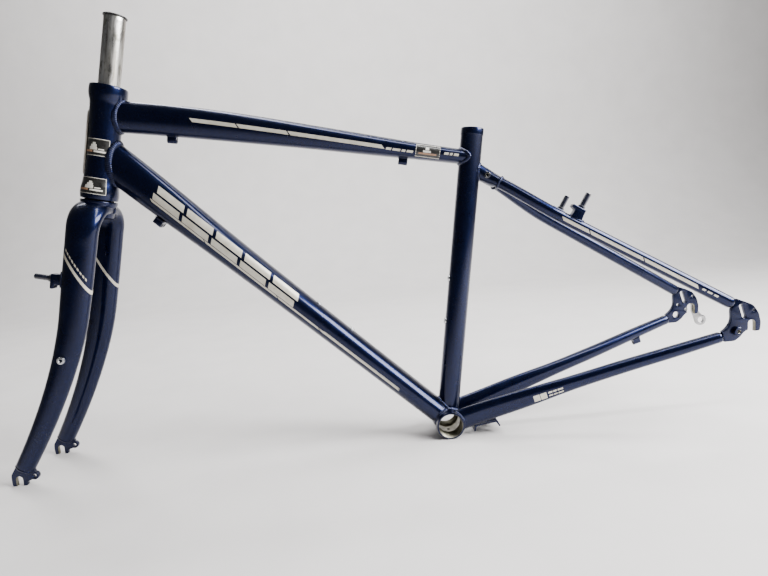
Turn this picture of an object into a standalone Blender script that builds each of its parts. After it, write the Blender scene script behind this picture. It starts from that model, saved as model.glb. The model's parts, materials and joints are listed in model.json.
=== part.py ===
"""Hybrid bicycle frame with its fork, standing on the fork tips and the bottom bracket shell.

Axes: +X points to the rear of the bicycle, +Y to its drive side, +Z up. The frame is nose down,
because without wheels it rests on the two fork tips and on the bottom bracket shell.
All lengths are metres.
"""

import math

import bmesh
import bpy
from mathutils import Matrix, Vector
from mathutils.geometry import interpolate_bezier

# Bicycle geometry, as it is quoted for the riding position.
FRONT_CENTRE = 0.6155
CHAINSTAY_LENGTH = 0.443
BB_DROP = 0.069
SEAT_ANGLE = math.radians(74.0)
HEAD_ANGLE = math.radians(69.5)
FORK_RAKE = 0.050
FRONT_HUB_WIDTH = 0.100
REAR_HUB_WIDTH = 0.135

# Shells and main tubes.
GAP = 0.0003
BB_X = 0.08599
BB_RADIUS = 0.0205
BB_BORE_RADIUS = 0.0174
BB_WIDTH = 0.068
SEAT_TUBE_RADIUS = 0.0159
SEAT_TUBE_LENGTH = 0.434
SEATPOST_RADIUS = 0.0137
HEAD_BOTTOM = 0.403
HEAD_TOP = 0.559
HEAD_RING_RADIUS = 0.025
HEAD_WAIST_RADIUS = 0.0222
HEADSET_RADIUS = 0.022
HEADSET_DEPTH = 0.009
TOP_TUBE_AT_HEAD = 0.5196
TOP_TUBE_AT_SEAT = 0.3925
TOP_TUBE_BOW = 0.030
DOWN_TUBE_AT_HEAD = 0.4677
DOWN_TUBE_HEIGHTS = ((0.0, 0.0262), (0.18, 0.0248), (0.30, 0.0220), (0.53, 0.0193), (1.0, 0.0167))
TUBE_WALL = 0.0018

# Fork.
TIP_AXLE_HEIGHT = 0.0095
STEERER_RADIUS = 0.0143
STEERER_BORE_RADIUS = 0.0128
STEERER_TOP = 0.652
CROWN_BOTTOM = 0.3785
CROWN_TOP = 0.394
CROWN_RADIUS = 0.021
BLADE_BEND_RADIUS = 0.032
BLADE_BEND_Y = 0.007
BLADE_BEND_T = 0.356
BLADE_CURVE_START = 0.240
BLADE_CURVE_POWER = 1.7
BLADE_BOTTOM = 0.0205
BLADE_BOSS_T = 0.288
BLADE_RACK_T = 0.179
BLADE_WALL = 0.0015
BLADE_LEAD = 0.0008
CROWN_DEPTH = 0.0218
CROWN_HALF_HEIGHT = 0.0088
TIP_SHOULDER = 0.0211

# Rear triangle.
DROPOUT_THICKNESS = 0.006
STAY_SLOPE = math.radians(15.7)
CHAIN_STAY_END = Vector((-0.0400, -0.0165))
SEAT_STAY_END = Vector((-0.0245, 0.0290))
STAY_END_Y = 0.069
SEAT_STAY_RADIUS = 0.0082
YOKE_AT_SEAT = 0.3803
YOKE_SLOPE = math.radians(33.9)
YOKE_LENGTH = 0.0485
BRAKE_Y = 0.040
SEAT_STAY_SLOPE = math.radians(31.7)
BRAKE_TO_DROPOUT = 0.2467
BRAKE_STAY_Y = 0.0384
STAY_BEND_HANDLE = 0.036
SLOT_RADIUS = 0.005

# Fittings.
BOSS_BORE = 0.0021
POST_RADIUS = 0.004
POST_COLLAR = 0.003
POST_LENGTH = 0.0225
SIDE_LIMIT = 0.0795
ROUND_STEPS = 28

NOSE_DOWN = math.asin(BB_DROP / FRONT_CENTRE)
NOSE_DOWN += math.asin((BB_RADIUS - TIP_AXLE_HEIGHT) / FRONT_CENTRE)
BB = Vector((BB_X, 0.0, BB_RADIUS))
SIDE = Vector((0.0, 1.0, 0.0))
DOWN = Vector((0.0, 0.0, -1.0))


def direction(angle):
    """Unit vector in the frame's mid plane, at an angle above the rearward horizontal."""
    return Vector((math.cos(angle), 0.0, math.sin(angle)))


def riding_point(x, z):
    """A point given in the riding position about the bottom bracket, as it stands nose down."""
    return BB + x * direction(NOSE_DOWN) + z * direction(NOSE_DOWN + math.pi / 2)


FRONT_AXLE = riding_point(-math.sqrt(FRONT_CENTRE ** 2 - BB_DROP ** 2), BB_DROP)
REAR_AXLE = riding_point(math.sqrt(CHAINSTAY_LENGTH ** 2 - BB_DROP ** 2), BB_DROP)
SEAT_UP = direction(SEAT_ANGLE + NOSE_DOWN)
STEER_UP = direction(HEAD_ANGLE + NOSE_DOWN)
STEER_BACK = direction(HEAD_ANGLE + NOSE_DOWN - math.pi / 2)
STEER_FOOT = FRONT_AXLE + FORK_RAKE * STEER_BACK
YOKE_ALONG = direction(-YOKE_SLOPE)
YOKE_START = BB + YOKE_AT_SEAT * SEAT_UP


def steer_point(t, s=0.0, y=0.0):
    """Point t up the steering axis from the axle's level, s behind the axis and y to the side."""
    return STEER_FOOT + t * STEER_UP + s * STEER_BACK + y * SIDE


def between(u, pairs):
    """Straight-line reading of a short list of (u, value) pairs."""
    for (u0, v0), (u1, v1) in zip(pairs, pairs[1:]):
        if u <= u1:
            return v0 + (v1 - v0) * (u - u0) / (u1 - u0)
    return pairs[-1][1]


def arc(cx, cy, radius, start, end, count):
    """Points of a circular arc, angles in degrees."""
    angles = [math.radians(start + (end - start) * i / (count - 1)) for i in range(count)]
    return [(cx + radius * math.cos(a), cy + radius * math.sin(a)) for a in angles]


def circle(cx, cy, radius, count=16):
    """Points once round a circle."""
    return arc(cx, cy, radius, 0.0, 360.0 * (count - 1) / count, count)


def axes_matrix(origin, local_x, local_y, local_z):
    """World matrix from an origin and three unit axes."""
    rows = Matrix((local_x, local_y, local_z)).transposed().to_4x4()
    rows.translation = origin
    return rows


def turned_matrix(origin, axis):
    """World matrix that lays a turned piece's Z axis along the given axis."""
    across = Vector((1.0, 0.0, 0.0)) if abs(axis.y) > 0.9 else SIDE
    return axes_matrix(origin, across.cross(axis), across, axis)


def make_collection(name):
    """A new collection linked to the scene."""
    collection = bpy.data.collections.new(name)
    bpy.context.scene.collection.children.link(collection)
    return collection


def make_material(name, color, metallic, roughness, coat=0.0):
    """A Principled material."""
    material = bpy.data.materials.new(name)
    material.use_nodes = True
    shader = material.node_tree.nodes["Principled BSDF"]
    shader.inputs["Base Color"].default_value = (*color, 1.0)
    shader.inputs["Metallic"].default_value = metallic
    shader.inputs["Roughness"].default_value = roughness
    shader.inputs["Coat Weight"].default_value = coat
    material.diffuse_color = (*color, 1.0)
    return material


def add_object(name, data, material):
    """Link data as a named object of the frame."""
    data.materials.append(material)
    obj = bpy.data.objects.new(name, data)
    PARTS.objects.link(obj)
    return obj


def add_cutter(name, data):
    """Link data as a hidden cutter."""
    obj = bpy.data.objects.new(name, data)
    obj.hide_render = True
    obj.display_type = 'WIRE'
    CUTTERS.objects.link(obj)
    return obj


def smooth(mesh):
    """Smooth shading with sharp creases."""
    mesh.shade_smooth()
    mesh.set_sharp_from_angle(angle=math.radians(35.0))


def cut(obj, cutter):
    """Subtract a cutter."""
    boolean = obj.modifiers.new(cutter.name, 'BOOLEAN')
    boolean.operation = 'DIFFERENCE'
    boolean.solver = 'EXACT'
    boolean.object = cutter


def ring_points(stations, reference, sides, shrink):
    """One oval ring of points for each station (centre, half size along reference, other half size)."""
    rings = []
    for i, (centre, across, other) in enumerate(stations):
        before = stations[max(i - 1, 0)][0]
        after = stations[min(i + 1, len(stations) - 1)][0]
        along = (after - before).normalized()
        first = (reference - reference.dot(along) * along).normalized()
        second = along.cross(first)
        for k in range(sides):
            a = 2.0 * math.pi * k / sides
            rings.append(centre + (across - shrink) * math.cos(a) * first
                         + (other - shrink) * math.sin(a) * second)
    return rings


def side_faces(rows, sides, base, flip):
    """Quads between successive rings."""
    faces = []
    for i in range(rows - 1):
        for k in range(sides):
            n = (k + 1) % sides
            quad = (base + i * sides + k, base + i * sides + n,
                    base + (i + 1) * sides + n, base + (i + 1) * sides + k)
            faces.append(quad[::-1] if flip else quad)
    return faces


def tube_mesh(name, stations, reference, sides, wall):
    """Hollow oval tube through the stations, open at both ends."""
    outer = ring_points(stations, reference, sides, 0.0)
    inner = ring_points(stations, reference, sides, wall)
    rows = len(stations)
    last = (rows - 1) * sides
    base = rows * sides
    faces = side_faces(rows, sides, 0, False) + side_faces(rows, sides, base, True)
    for k in range(sides):
        n = (k + 1) % sides
        faces.append((k, base + k, base + n, n))
        faces.append((last + k, last + n, base + last + n, base + last + k))
    return finish_mesh(name, outer + inner, faces)


def rod_mesh(name, stations, reference, sides, grow):
    """Solid oval rod through the stations, larger than the tube by grow."""
    points = ring_points(stations, reference, sides, -grow)
    rows = len(stations)
    faces = side_faces(rows, sides, 0, False)
    faces.append(tuple(range(sides))[::-1])
    faces.append(tuple(range((rows - 1) * sides, rows * sides)))
    return finish_mesh(name, points, faces)


def finish_mesh(name, points, faces):
    """Mesh with outward normals and smooth shading."""
    mesh = bpy.data.meshes.new(name)
    mesh.from_pydata(points, [], faces)
    work = bmesh.new()
    work.from_mesh(mesh)
    bmesh.ops.recalc_face_normals(work, faces=work.faces)
    work.to_mesh(mesh)
    work.free()
    smooth(mesh)
    return mesh


def turned(name, profile, origin, axis, material, closed, steps=ROUND_STEPS):
    """Revolve a profile of (radius, height) points about an axis."""
    mesh = bpy.data.meshes.new(name)
    count = len(profile)
    edges = [(i, i + 1) for i in range(count - 1)]
    if closed:
        edges.append((count - 1, 0))
    mesh.from_pydata([(r, 0.0, z) for r, z in profile], edges, [])
    obj = add_object(name, mesh, material)
    obj.matrix_world = turned_matrix(origin, axis)
    screw = obj.modifiers.new("Turn", 'SCREW')
    screw.steps = steps
    screw.render_steps = steps
    screw.use_merge_vertices = True
    screw.merge_threshold = 0.00005
    screw.use_smooth_shade = True
    return obj


def ring_profile(bore, radius, bottom, top, chamfer=0.0006):
    """Closed profile of a plain ring with chamfered outer corners, outer side first, top to bottom."""
    return [(bore, top), (radius - chamfer, top), (radius, top - chamfer), (radius, bottom + chamfer),
            (radius - chamfer, bottom), (bore, bottom)]


def plate(name, outline, holes, thickness, matrix, material):
    """Flat plate with holes, from a filled outline; the plate's middle lies in the matrix's XY plane."""
    curve = bpy.data.curves.new(name, 'CURVE')
    curve.dimensions = '2D'
    curve.fill_mode = 'BOTH'
    curve.extrude = thickness / 2.0
    for loop in [outline] + holes:
        spline = curve.splines.new('POLY')
        spline.points.add(len(loop) - 1)
        for point, (x, y) in zip(spline.points, loop):
            point.co = (x, y, 0.0, 1.0)
        spline.use_cyclic_u = True
    obj = add_object(name, curve, material)
    obj.matrix_world = matrix
    return obj


def as_mesh(obj):
    """The same plate as a mesh, so that it can be cut."""
    bpy.context.view_layer.update()
    mesh = bpy.data.meshes.new_from_object(obj.evaluated_get(bpy.context.evaluated_depsgraph_get()))
    work = bmesh.new()
    work.from_mesh(mesh)
    bmesh.ops.remove_doubles(work, verts=work.verts, dist=0.000001)
    bmesh.ops.recalc_face_normals(work, faces=work.faces)
    work.to_mesh(mesh)
    work.free()
    name = obj.name
    matrix = obj.matrix_world.copy()
    curve = obj.data
    bpy.data.objects.remove(obj)
    bpy.data.curves.remove(curve)
    solid = bpy.data.objects.new(name, mesh)
    solid.matrix_world = matrix
    PARTS.objects.link(solid)
    return solid


def cylinder_cutter(name, centre, axis, radius, length, steps=32):
    """Cylindrical cutter about a centre."""
    mesh = bpy.data.meshes.new(name)
    work = bmesh.new()
    bmesh.ops.create_cone(work, cap_ends=True, segments=steps, radius1=radius, radius2=radius, depth=length)
    work.to_mesh(mesh)
    work.free()
    obj = add_cutter(name, mesh)
    obj.matrix_world = turned_matrix(centre, axis)
    return obj


def box_cutter(name, matrix, size):
    """Box cutter with its centre at the matrix's origin."""
    mesh = bpy.data.meshes.new(name)
    work = bmesh.new()
    bmesh.ops.create_cube(work, size=1.0, matrix=Matrix.Diagonal((*size, 1.0)))
    work.to_mesh(mesh)
    work.free()
    obj = add_cutter(name, mesh)
    obj.matrix_world = matrix
    return obj


# ---------------------------------------------------------------------------- head and main tubes

def head_outline(grow):
    """Outer side of the head tube, top to bottom: a waist between two thick rings."""
    ring = HEAD_RING_RADIUS + grow
    waist = HEAD_WAIST_RADIUS + grow
    return [(ring - 0.0008, HEAD_TOP + grow), (ring, HEAD_TOP - 0.0008), (ring, HEAD_TOP - 0.009),
            (ring - 0.0012, HEAD_TOP - 0.014), (waist, HEAD_TOP - 0.021), (waist, HEAD_BOTTOM + 0.025),
            (ring - 0.0012, HEAD_BOTTOM + 0.018), (ring, HEAD_BOTTOM + 0.011),
            (ring, HEAD_BOTTOM + 0.0008), (ring - 0.0008, HEAD_BOTTOM - grow)]


def build_head_tube():
    """Head tube with a bearing seat in each end."""
    bore = STEERER_RADIUS + 0.0032
    inside = [(HEADSET_RADIUS, HEAD_BOTTOM), (HEADSET_RADIUS, HEAD_BOTTOM + HEADSET_DEPTH),
              (bore, HEAD_BOTTOM + HEADSET_DEPTH), (bore, HEAD_TOP - HEADSET_DEPTH),
              (HEADSET_RADIUS, HEAD_TOP - HEADSET_DEPTH), (HEADSET_RADIUS, HEAD_TOP)]
    turned("head_tube", head_outline(0.0) + inside, STEER_FOOT, STEER_UP, PAINT, True)


def head_cutter():
    """Solid of the head tube, a gap larger, for mitring the tubes that meet it."""
    profile = [(0.0, HEAD_TOP + GAP)] + head_outline(GAP) + [(0.0, HEAD_BOTTOM - GAP)]
    mesh = bpy.data.meshes.new("cut_head_tube")
    mesh.from_pydata([(r, 0.0, z) for r, z in profile], [(i, i + 1) for i in range(len(profile) - 1)], [])
    obj = add_cutter("cut_head_tube", mesh)
    obj.matrix_world = turned_matrix(STEER_FOOT, STEER_UP)
    screw = obj.modifiers.new("Turn", 'SCREW')
    screw.steps = ROUND_STEPS
    screw.render_steps = ROUND_STEPS
    screw.use_merge_vertices = True
    screw.merge_threshold = 0.00005
    return obj


def build_head_badge():
    """Thin curved plate on the front of the head tube's waist."""
    inner = HEAD_WAIST_RADIUS + GAP
    outer = inner + 0.0015
    low = HEAD_BOTTOM + 0.029
    high = HEAD_TOP - 0.032
    columns = 12
    points = []
    for radius in (inner, outer):
        for t in (low, high):
            for k in range(columns + 1):
                a = math.radians(-40.0 + 80.0 * k / columns)
                points.append(steer_point(t, -radius * math.cos(a), radius * math.sin(a)))
    row = columns + 1
    faces = []
    for k in range(columns):
        faces.append((k, k + 1, row + k + 1, row + k))
        faces.append((2 * row + k, 3 * row + k, 3 * row + k + 1, 2 * row + k + 1))
        faces.append((k, 2 * row + k, 2 * row + k + 1, k + 1))
        faces.append((row + k, row + k + 1, 3 * row + k + 1, 3 * row + k))
    faces.append((0, row, 3 * row, 2 * row))
    faces.append((columns, 2 * row + columns, 3 * row + columns, row + columns))
    add_object("head_badge", finish_mesh("head_badge", points, faces), SILVER)


def top_tube_centre(u):
    """Centre line from the head tube to the seat tube, with a slight upward bow."""
    start = steer_point(TOP_TUBE_AT_HEAD)
    end = BB + TOP_TUBE_AT_SEAT * SEAT_UP
    return start.lerp(end, u) - DOWN * TOP_TUBE_BOW * u * (1.0 - u) ** 2


def top_tube_height(u):
    """Half the height of the top tube: tall at the head tube, slim at the seat tube."""
    return between(u, [(0.0, 0.0219), (0.25, 0.0213), (0.95, 0.0107), (1.0, 0.0105)])


def top_tube_stations():
    """Sections of the top tube."""
    stations = []
    for u in (0.0, 0.07, 0.16, 0.25, 0.40, 0.60, 0.80, 0.90, 1.0):
        width = between(u, [(0.0, 0.0145), (0.5, 0.0160), (1.0, 0.0152)])
        stations.append((top_tube_centre(u), width, top_tube_height(u)))
    return stations


def down_tube_stations():
    """Tall and narrow at the head tube, flat and wide at the bottom bracket."""
    start = steer_point(DOWN_TUBE_AT_HEAD)
    stations = []
    for u in (0.0, 0.09, 0.18, 0.30, 0.41, 0.53, 0.76, 0.90, 1.0):
        width = between(u, [(0.0, 0.0155), (0.30, 0.0205), (1.0, 0.0250)])
        stations.append((start.lerp(BB, u), width, between(u, DOWN_TUBE_HEIGHTS)))
    return stations


def build_top_tube(head, seat):
    """Hydroformed top tube, mitred to the head and seat tubes."""
    mesh = tube_mesh("top_tube", top_tube_stations(), SIDE, 20, TUBE_WALL)
    tube = add_object("top_tube", mesh, PAINT)
    cut(tube, head)
    cut(tube, seat)


def build_down_tube(head, seat, shell):
    """Down tube, mitred to the head tube, the shell and the foot of the seat tube."""
    mesh = tube_mesh("down_tube", down_tube_stations(), SIDE, 20, TUBE_WALL)
    tube = add_object("down_tube", mesh, PAINT)
    cut(tube, head)
    cut(tube, shell)
    cut(tube, seat)
    for name, u in (("upper", 0.583), ("lower", 0.682)):
        build_bottle_boss(tube, "down_" + name, down_tube_top(u), down_tube_normal())


def down_tube_normal():
    """Direction square to the down tube, up and to the rear."""
    along = (BB - steer_point(DOWN_TUBE_AT_HEAD)).normalized()
    return along.cross(SIDE)


def down_tube_top(u, side=1.0):
    """Point on the upper (side 1) or lower (side -1) line of the down tube."""
    height = between(u, DOWN_TUBE_HEIGHTS)
    return steer_point(DOWN_TUBE_AT_HEAD).lerp(BB, u) + side * height * down_tube_normal()


def build_bottle_boss(tube, name, point, outward):
    """Threaded insert for a bottle cage, in its own hole."""
    hole = cylinder_cutter("cut_bottle_" + name, point, outward, 0.0046, 0.016, 14)
    cut(tube, hole)
    profile = [(BOSS_BORE, 0.0012), (0.0049, 0.0012), (0.0052, 0.0009), (0.0052, 0.0), (0.0042, 0.0),
               (0.0042, -0.009), (BOSS_BORE, -0.009)]
    turned("bottle_boss_" + name, profile, point + GAP * outward, outward, SILVER, True, 14)


def build_seat_tube(shell):
    """Seat tube with a collar land, a clamp slot at the rear and two bottle bosses at the front."""
    top = SEAT_TUBE_LENGTH
    radius = SEAT_TUBE_RADIUS
    profile = [(radius + 0.0001, top), (radius + 0.0005, top - 0.0005), (radius + 0.0005, top - 0.009),
               (radius, top - 0.010), (radius, 0.0), (SEATPOST_RADIUS + 0.0006, 0.0),
               (SEATPOST_RADIUS + 0.0006, top - 0.120), (SEATPOST_RADIUS, top - 0.122),
               (SEATPOST_RADIUS, top)]
    tube = turned("seat_tube", profile, BB, SEAT_UP, PAINT, True, 24)
    cut(tube, shell)
    rear = SIDE.cross(SEAT_UP)
    slot_end = BB + (top - 0.030) * SEAT_UP + radius * rear
    middle = slot_end + 0.0175 * SEAT_UP
    cut(tube, box_cutter("cut_clamp_slot", axes_matrix(middle, rear, SIDE, SEAT_UP), (0.010, 0.003, 0.035)))
    cut(tube, cylinder_cutter("cut_slot_end", slot_end, rear, 0.003, 0.010, 16))
    for name, height in (("lower", 0.151), ("upper", 0.215)):
        build_bottle_boss(tube, "seat_" + name, BB + height * SEAT_UP - radius * rear, -rear)


def build_bottom_bracket_shell():
    """Threaded shell, with the cable guide's screw hole in its underside."""
    half = BB_WIDTH / 2.0
    profile = [(BB_BORE_RADIUS + 0.0008, half), (BB_RADIUS - 0.0008, half), (BB_RADIUS, half - 0.0008),
               (BB_RADIUS, 0.0008 - half), (BB_RADIUS - 0.0008, -half), (BB_BORE_RADIUS + 0.0008, -half),
               (BB_BORE_RADIUS, 0.0008 - half), (BB_BORE_RADIUS, half - 0.0008)]
    shell = turned("bottom_bracket_shell", profile, BB, SIDE, PAINT, True, 32)
    cut(shell, cylinder_cutter("cut_guide_hole", BB + BB_RADIUS * DOWN, DOWN, 0.0025, 0.012, 16))


# ---------------------------------------------------------------------------- rear triangle

def chain_stay_along():
    """Direction and length of the chain stay's side view."""
    end = REAR_AXLE + Vector((CHAIN_STAY_END.x, 0.0, CHAIN_STAY_END.y)) - BB
    return end.normalized(), end.length - GAP


def chain_stay_section(d, side):
    """Section of the chain stay at a distance d from the shell's axis."""
    along, reach = chain_stay_along()
    y = between(d, [(0.008, 0.0235), (0.040, 0.0240), (0.075, 0.0275), (0.110, 0.0320), (0.180, 0.0375),
                    (0.260, 0.0475), (0.350, 0.0625), (reach, STAY_END_Y)])
    width = between(d, [(0.0, 0.0082), (0.110, 0.0075), (0.260, 0.0085), (reach, 0.0075)])
    height = between(d, [(0.0, 0.0158), (0.110, 0.0141), (0.145, 0.0130), (0.180, 0.0108), (0.260, 0.0096),
                         (0.350, 0.0085), (reach, 0.0075)])
    return BB + d * along + side * y * SIDE, width, height


def chain_stay_stations(side):
    """Deep at the shell, bent round the wheel, round at the dropout."""
    reach = chain_stay_along()[1]
    places = (0.008, 0.040, 0.075, 0.110, 0.145, 0.180, 0.220, 0.260, 0.305, 0.350, reach)
    return [chain_stay_section(d, side) for d in places]


def build_chain_stay(name, side, shell, seat):
    """One chain stay, mitred to the shell and clear of the seat tube."""
    stay = add_object(name, tube_mesh(name, chain_stay_stations(side), SIDE, 14, BLADE_WALL), PAINT)
    cut(stay, shell)
    cut(stay, seat)


def seat_stay_end(side):
    """Centre of the seat stay's lower end, at the dropout."""
    return REAR_AXLE + Vector((SEAT_STAY_END.x, side * STAY_END_Y, SEAT_STAY_END.y))


def seat_stay_along(side):
    """Direction of the seat stay's straight part, from the brake to the dropout."""
    return (seat_stay_end(side) - seat_stay_brake(side)).normalized()


def seat_stay_brake(side):
    """Centre of the seat stay where its brake boss sits."""
    level = REAR_AXLE + Vector((SEAT_STAY_END.x, 0.0, SEAT_STAY_END.y))
    return level - BRAKE_TO_DROPOUT * direction(-SEAT_STAY_SLOPE) + side * BRAKE_STAY_Y * SIDE


def seat_stay_points(side):
    """Centre line: a bend out from the yoke, then straight to the dropout."""
    first = YOKE_START + (YOKE_LENGTH + GAP) * YOKE_ALONG + side * 0.0100 * SIDE
    straight = seat_stay_brake(side) - 0.012 * seat_stay_along(side)
    out = (YOKE_ALONG + side * 0.35 * SIDE).normalized()
    handle = straight - STAY_BEND_HANDLE * seat_stay_along(side)
    bend = interpolate_bezier(first, first + STAY_BEND_HANDLE * out, handle, straight, 8)
    last = seat_stay_end(side) - GAP * seat_stay_along(side)
    return [first] + bend[1:] + [straight.lerp(last, 0.5), last]


def seat_stay_stations(side):
    """Round tube along the seat stay's centre line."""
    return [(point, SEAT_STAY_RADIUS, SEAT_STAY_RADIUS) for point in seat_stay_points(side)]


def yoke_stations():
    """Short oval stem that widens to take both seat stays."""
    sizes = ((0.0, 0.0110, 0.0110), (0.022, 0.0115, 0.0108), (0.034, 0.0140, 0.0102),
             (0.042, 0.0170, 0.0098), (YOKE_LENGTH, 0.0186, 0.0094))
    return [(YOKE_START + d * YOKE_ALONG, width, height) for d, width, height in sizes]


def build_seat_stay(name, side, yoke):
    """One seat stay, cut back to the face of the yoke."""
    stay = add_object(name, tube_mesh(name, seat_stay_stations(side), SIDE, 12, BLADE_WALL), PAINT)
    cut(stay, yoke)


def build_yoke(seat):
    """Seat stay yoke behind the seat tube, with a rack boss on each side."""
    yoke = add_object("seat_stay_yoke", tube_mesh("seat_stay_yoke", yoke_stations(), SIDE, 16, 0.002), PAINT)
    cut(yoke, seat)
    clearance = add_cutter("cut_yoke", rod_mesh("cut_yoke", yoke_stations(), SIDE, 16, GAP))
    for name, side in (("left", -1.0), ("right", 1.0)):
        build_seat_stay("seat_stay_" + name, side, clearance)
        centre = YOKE_START + 0.027 * YOKE_ALONG
        boss = turned("rack_boss_" + name, ring_profile(BOSS_BORE, 0.0047, 0.008, 0.0165), centre,
                      side * SIDE, BLACK, True, 14)
        cut(boss, clearance)


def dropout_outline():
    """Rear dropout about the axle: two butt faces for the stays and a slot open downwards."""
    seat_across = Vector((math.sin(SEAT_STAY_SLOPE), math.cos(SEAT_STAY_SLOPE))) * SEAT_STAY_RADIUS
    chain_across = Vector((-math.sin(STAY_SLOPE), math.cos(STAY_SLOPE))) * 0.0075
    upper = [tuple(SEAT_STAY_END + seat_across), (-0.0080, 0.0310), (0.0030, 0.0255), (0.0105, 0.0140),
             (0.0135, 0.0010), (0.0125, -0.0095), (0.0110, -0.0115), (SLOT_RADIUS, -0.0115)]
    slot = arc(0.0, 0.0, SLOT_RADIUS, 0.0, 180.0, 13)
    lower = [(-SLOT_RADIUS, -0.0090), (-0.0100, -0.0110), (-0.0160, -0.0180), (-0.0240, -0.0235),
             tuple(CHAIN_STAY_END - chain_across), tuple(CHAIN_STAY_END + chain_across)]
    inner = [(-0.0355, -0.0045), (-0.0305, 0.0020), (-0.0285, 0.0090), (-0.0290, 0.0160)]
    return upper + slot + lower + inner + [tuple(SEAT_STAY_END - seat_across)]


def dropout_window():
    """Long oval window in the upper arm."""
    upper = Vector((-0.0150, 0.0255))
    lower = Vector((-0.0105, 0.0105))
    lean = math.degrees(math.atan2(upper.y - lower.y, upper.x - lower.x))
    return arc(upper.x, upper.y, 0.0028, lean - 90.0, lean + 90.0, 8) + \
        arc(lower.x, lower.y, 0.0028, lean + 90.0, lean + 270.0, 8)


def side_matrix(centre, y):
    """Plate in the XZ plane at a given side offset."""
    return axes_matrix(Vector((centre.x, y, centre.z)), Vector((1, 0, 0)), Vector((0, 0, 1)), -SIDE)


def build_dropouts():
    """Rear dropouts; the left one carries the eyelet, the right one the hanger's bolt hole."""
    middle = REAR_HUB_WIDTH / 2.0 + DROPOUT_THICKNESS / 2.0
    small = circle(0.0035, 0.0185, 0.0020, 14)
    outline = dropout_outline()
    left_holes = [dropout_window(), small, circle(-0.0220, -0.0090, BOSS_BORE, 14)]
    right_holes = [dropout_window(), small, circle(-0.0250, -0.0105, 0.0050),
                   circle(-0.0215, 0.0060, 0.0022, 14), circle(-0.0088, -0.0025, 0.0023, 14)]
    plate("dropout_left", outline, left_holes, DROPOUT_THICKNESS, side_matrix(REAR_AXLE, -middle), BLACK)
    plate("dropout_right", outline, right_holes, DROPOUT_THICKNESS, side_matrix(REAR_AXLE, middle), BLACK)
    face = REAR_HUB_WIDTH / 2.0 + DROPOUT_THICKNESS + GAP
    centre = REAR_AXLE + Vector((-0.0220, 0.0, -0.0090))
    turned("eyelet_left", ring_profile(BOSS_BORE, 0.0060, face, SIDE_LIMIT), centre, -SIDE, BLACK, True, 16)


def hanger_outline():
    """Replaceable derailleur hanger: a hook over the axle slot and a lobe for the derailleur bolt."""
    slot = SLOT_RADIUS + 0.0002
    hook = [(-0.0115, -0.0070)] + arc(0.0005, 0.0, 0.0120, 180.0, 30.0, 12)
    neck = [(0.0135, 0.0005), (0.0160, -0.0070), (0.0205, -0.0140)]
    lobe = arc(0.0203, -0.0240, 0.0093, 65.0, -175.0, 14)
    inner = [(0.0080, -0.0150), (slot, -0.0080)] + arc(0.0, 0.0, slot, 0.0, 180.0, 13)
    return hook + neck + lobe + inner + [(-slot, -0.0070)]


def build_hanger():
    """Derailleur hanger on the right dropout, with its bolt."""
    face = REAR_HUB_WIDTH / 2.0 + DROPOUT_THICKNESS + GAP
    holes = [circle(0.0203, -0.0240, 0.0046), circle(-0.0088, -0.0025, 0.0023, 14)]
    plate("derailleur_hanger", hanger_outline(), holes, 0.004, side_matrix(REAR_AXLE, face + 0.002), ALLOY)
    under_head = face + 0.004 + GAP
    profile = [(0.0, SIDE_LIMIT), (0.0026, SIDE_LIMIT), (0.0036, under_head + 0.0006), (0.0036, under_head),
               (0.0020, under_head), (0.0020, REAR_HUB_WIDTH / 2.0 + GAP), (0.0, REAR_HUB_WIDTH / 2.0 + GAP)]
    turned("hanger_bolt", profile, REAR_AXLE + Vector((-0.0088, 0.0, -0.0025)), SIDE, SILVER, False, 14)


def build_kickstand_plate():
    """Pressed plate under the chain stays, level when riding, with splayed lips and a bolt hole."""
    front = 0.0365
    rear = 0.0710
    top = -0.0109
    under = top - 0.0035
    tip = -0.0205
    splay = 0.0032
    sheet = 0.0024
    outline = [(front, top), (rear, top), (rear + splay, tip), (rear + splay - 1.2 * sheet, tip - 0.0004),
               (rear - sheet, under), (front + sheet, under), (front - splay + 1.2 * sheet, tip - 0.0004),
               (front - splay, tip)]
    level = direction(NOSE_DOWN)
    up = level.cross(SIDE)
    solid = as_mesh(plate("kickstand_plate", outline, [], 0.048, axes_matrix(BB, level, up, -SIDE), BLACK))
    centre = BB + (front + rear) / 2.0 * level + top * up
    cut(solid, cylinder_cutter("cut_kickstand_bolt", centre, up, 0.0052, 0.020, 16))


# ---------------------------------------------------------------------------- fittings

def brake_block_outline(foot, top, reach):
    """Brake boss seen from the side: a stem with a spring plate reaching to one side."""
    return [(-0.0085, foot), (0.0085, foot), (0.0070, top - 0.006), (0.0070, top), (-0.0072 - reach, top),
            (-0.0072 - reach, top - 0.0045), (-0.0075, top - 0.0060)]


def build_brake_mount(place, side, foot, along, outward, top, clearance):
    """Brake boss block and its pivot post, on a stay or a blade."""
    centre = foot + side * BRAKE_Y * SIDE
    block = plate(place[0], brake_block_outline(0.003, top, 0.0065), [], 0.012,
                  axes_matrix(centre, along, outward, along.cross(outward)), BLACK)
    cut(as_mesh(block), clearance)
    seat = top + GAP
    end = seat + POST_LENGTH
    profile = [(0.0, end - 0.014), (0.0025, end - 0.013), (0.0025, end), (POST_RADIUS - 0.0005, end),
               (POST_RADIUS, end - 0.0006), (POST_RADIUS, seat + POST_COLLAR),
               (0.0053, seat + POST_COLLAR - 0.0006), (0.0053, seat), (0.0, seat)]
    turned(place[1], profile, centre, outward, BLACK, False, 16)


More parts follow.
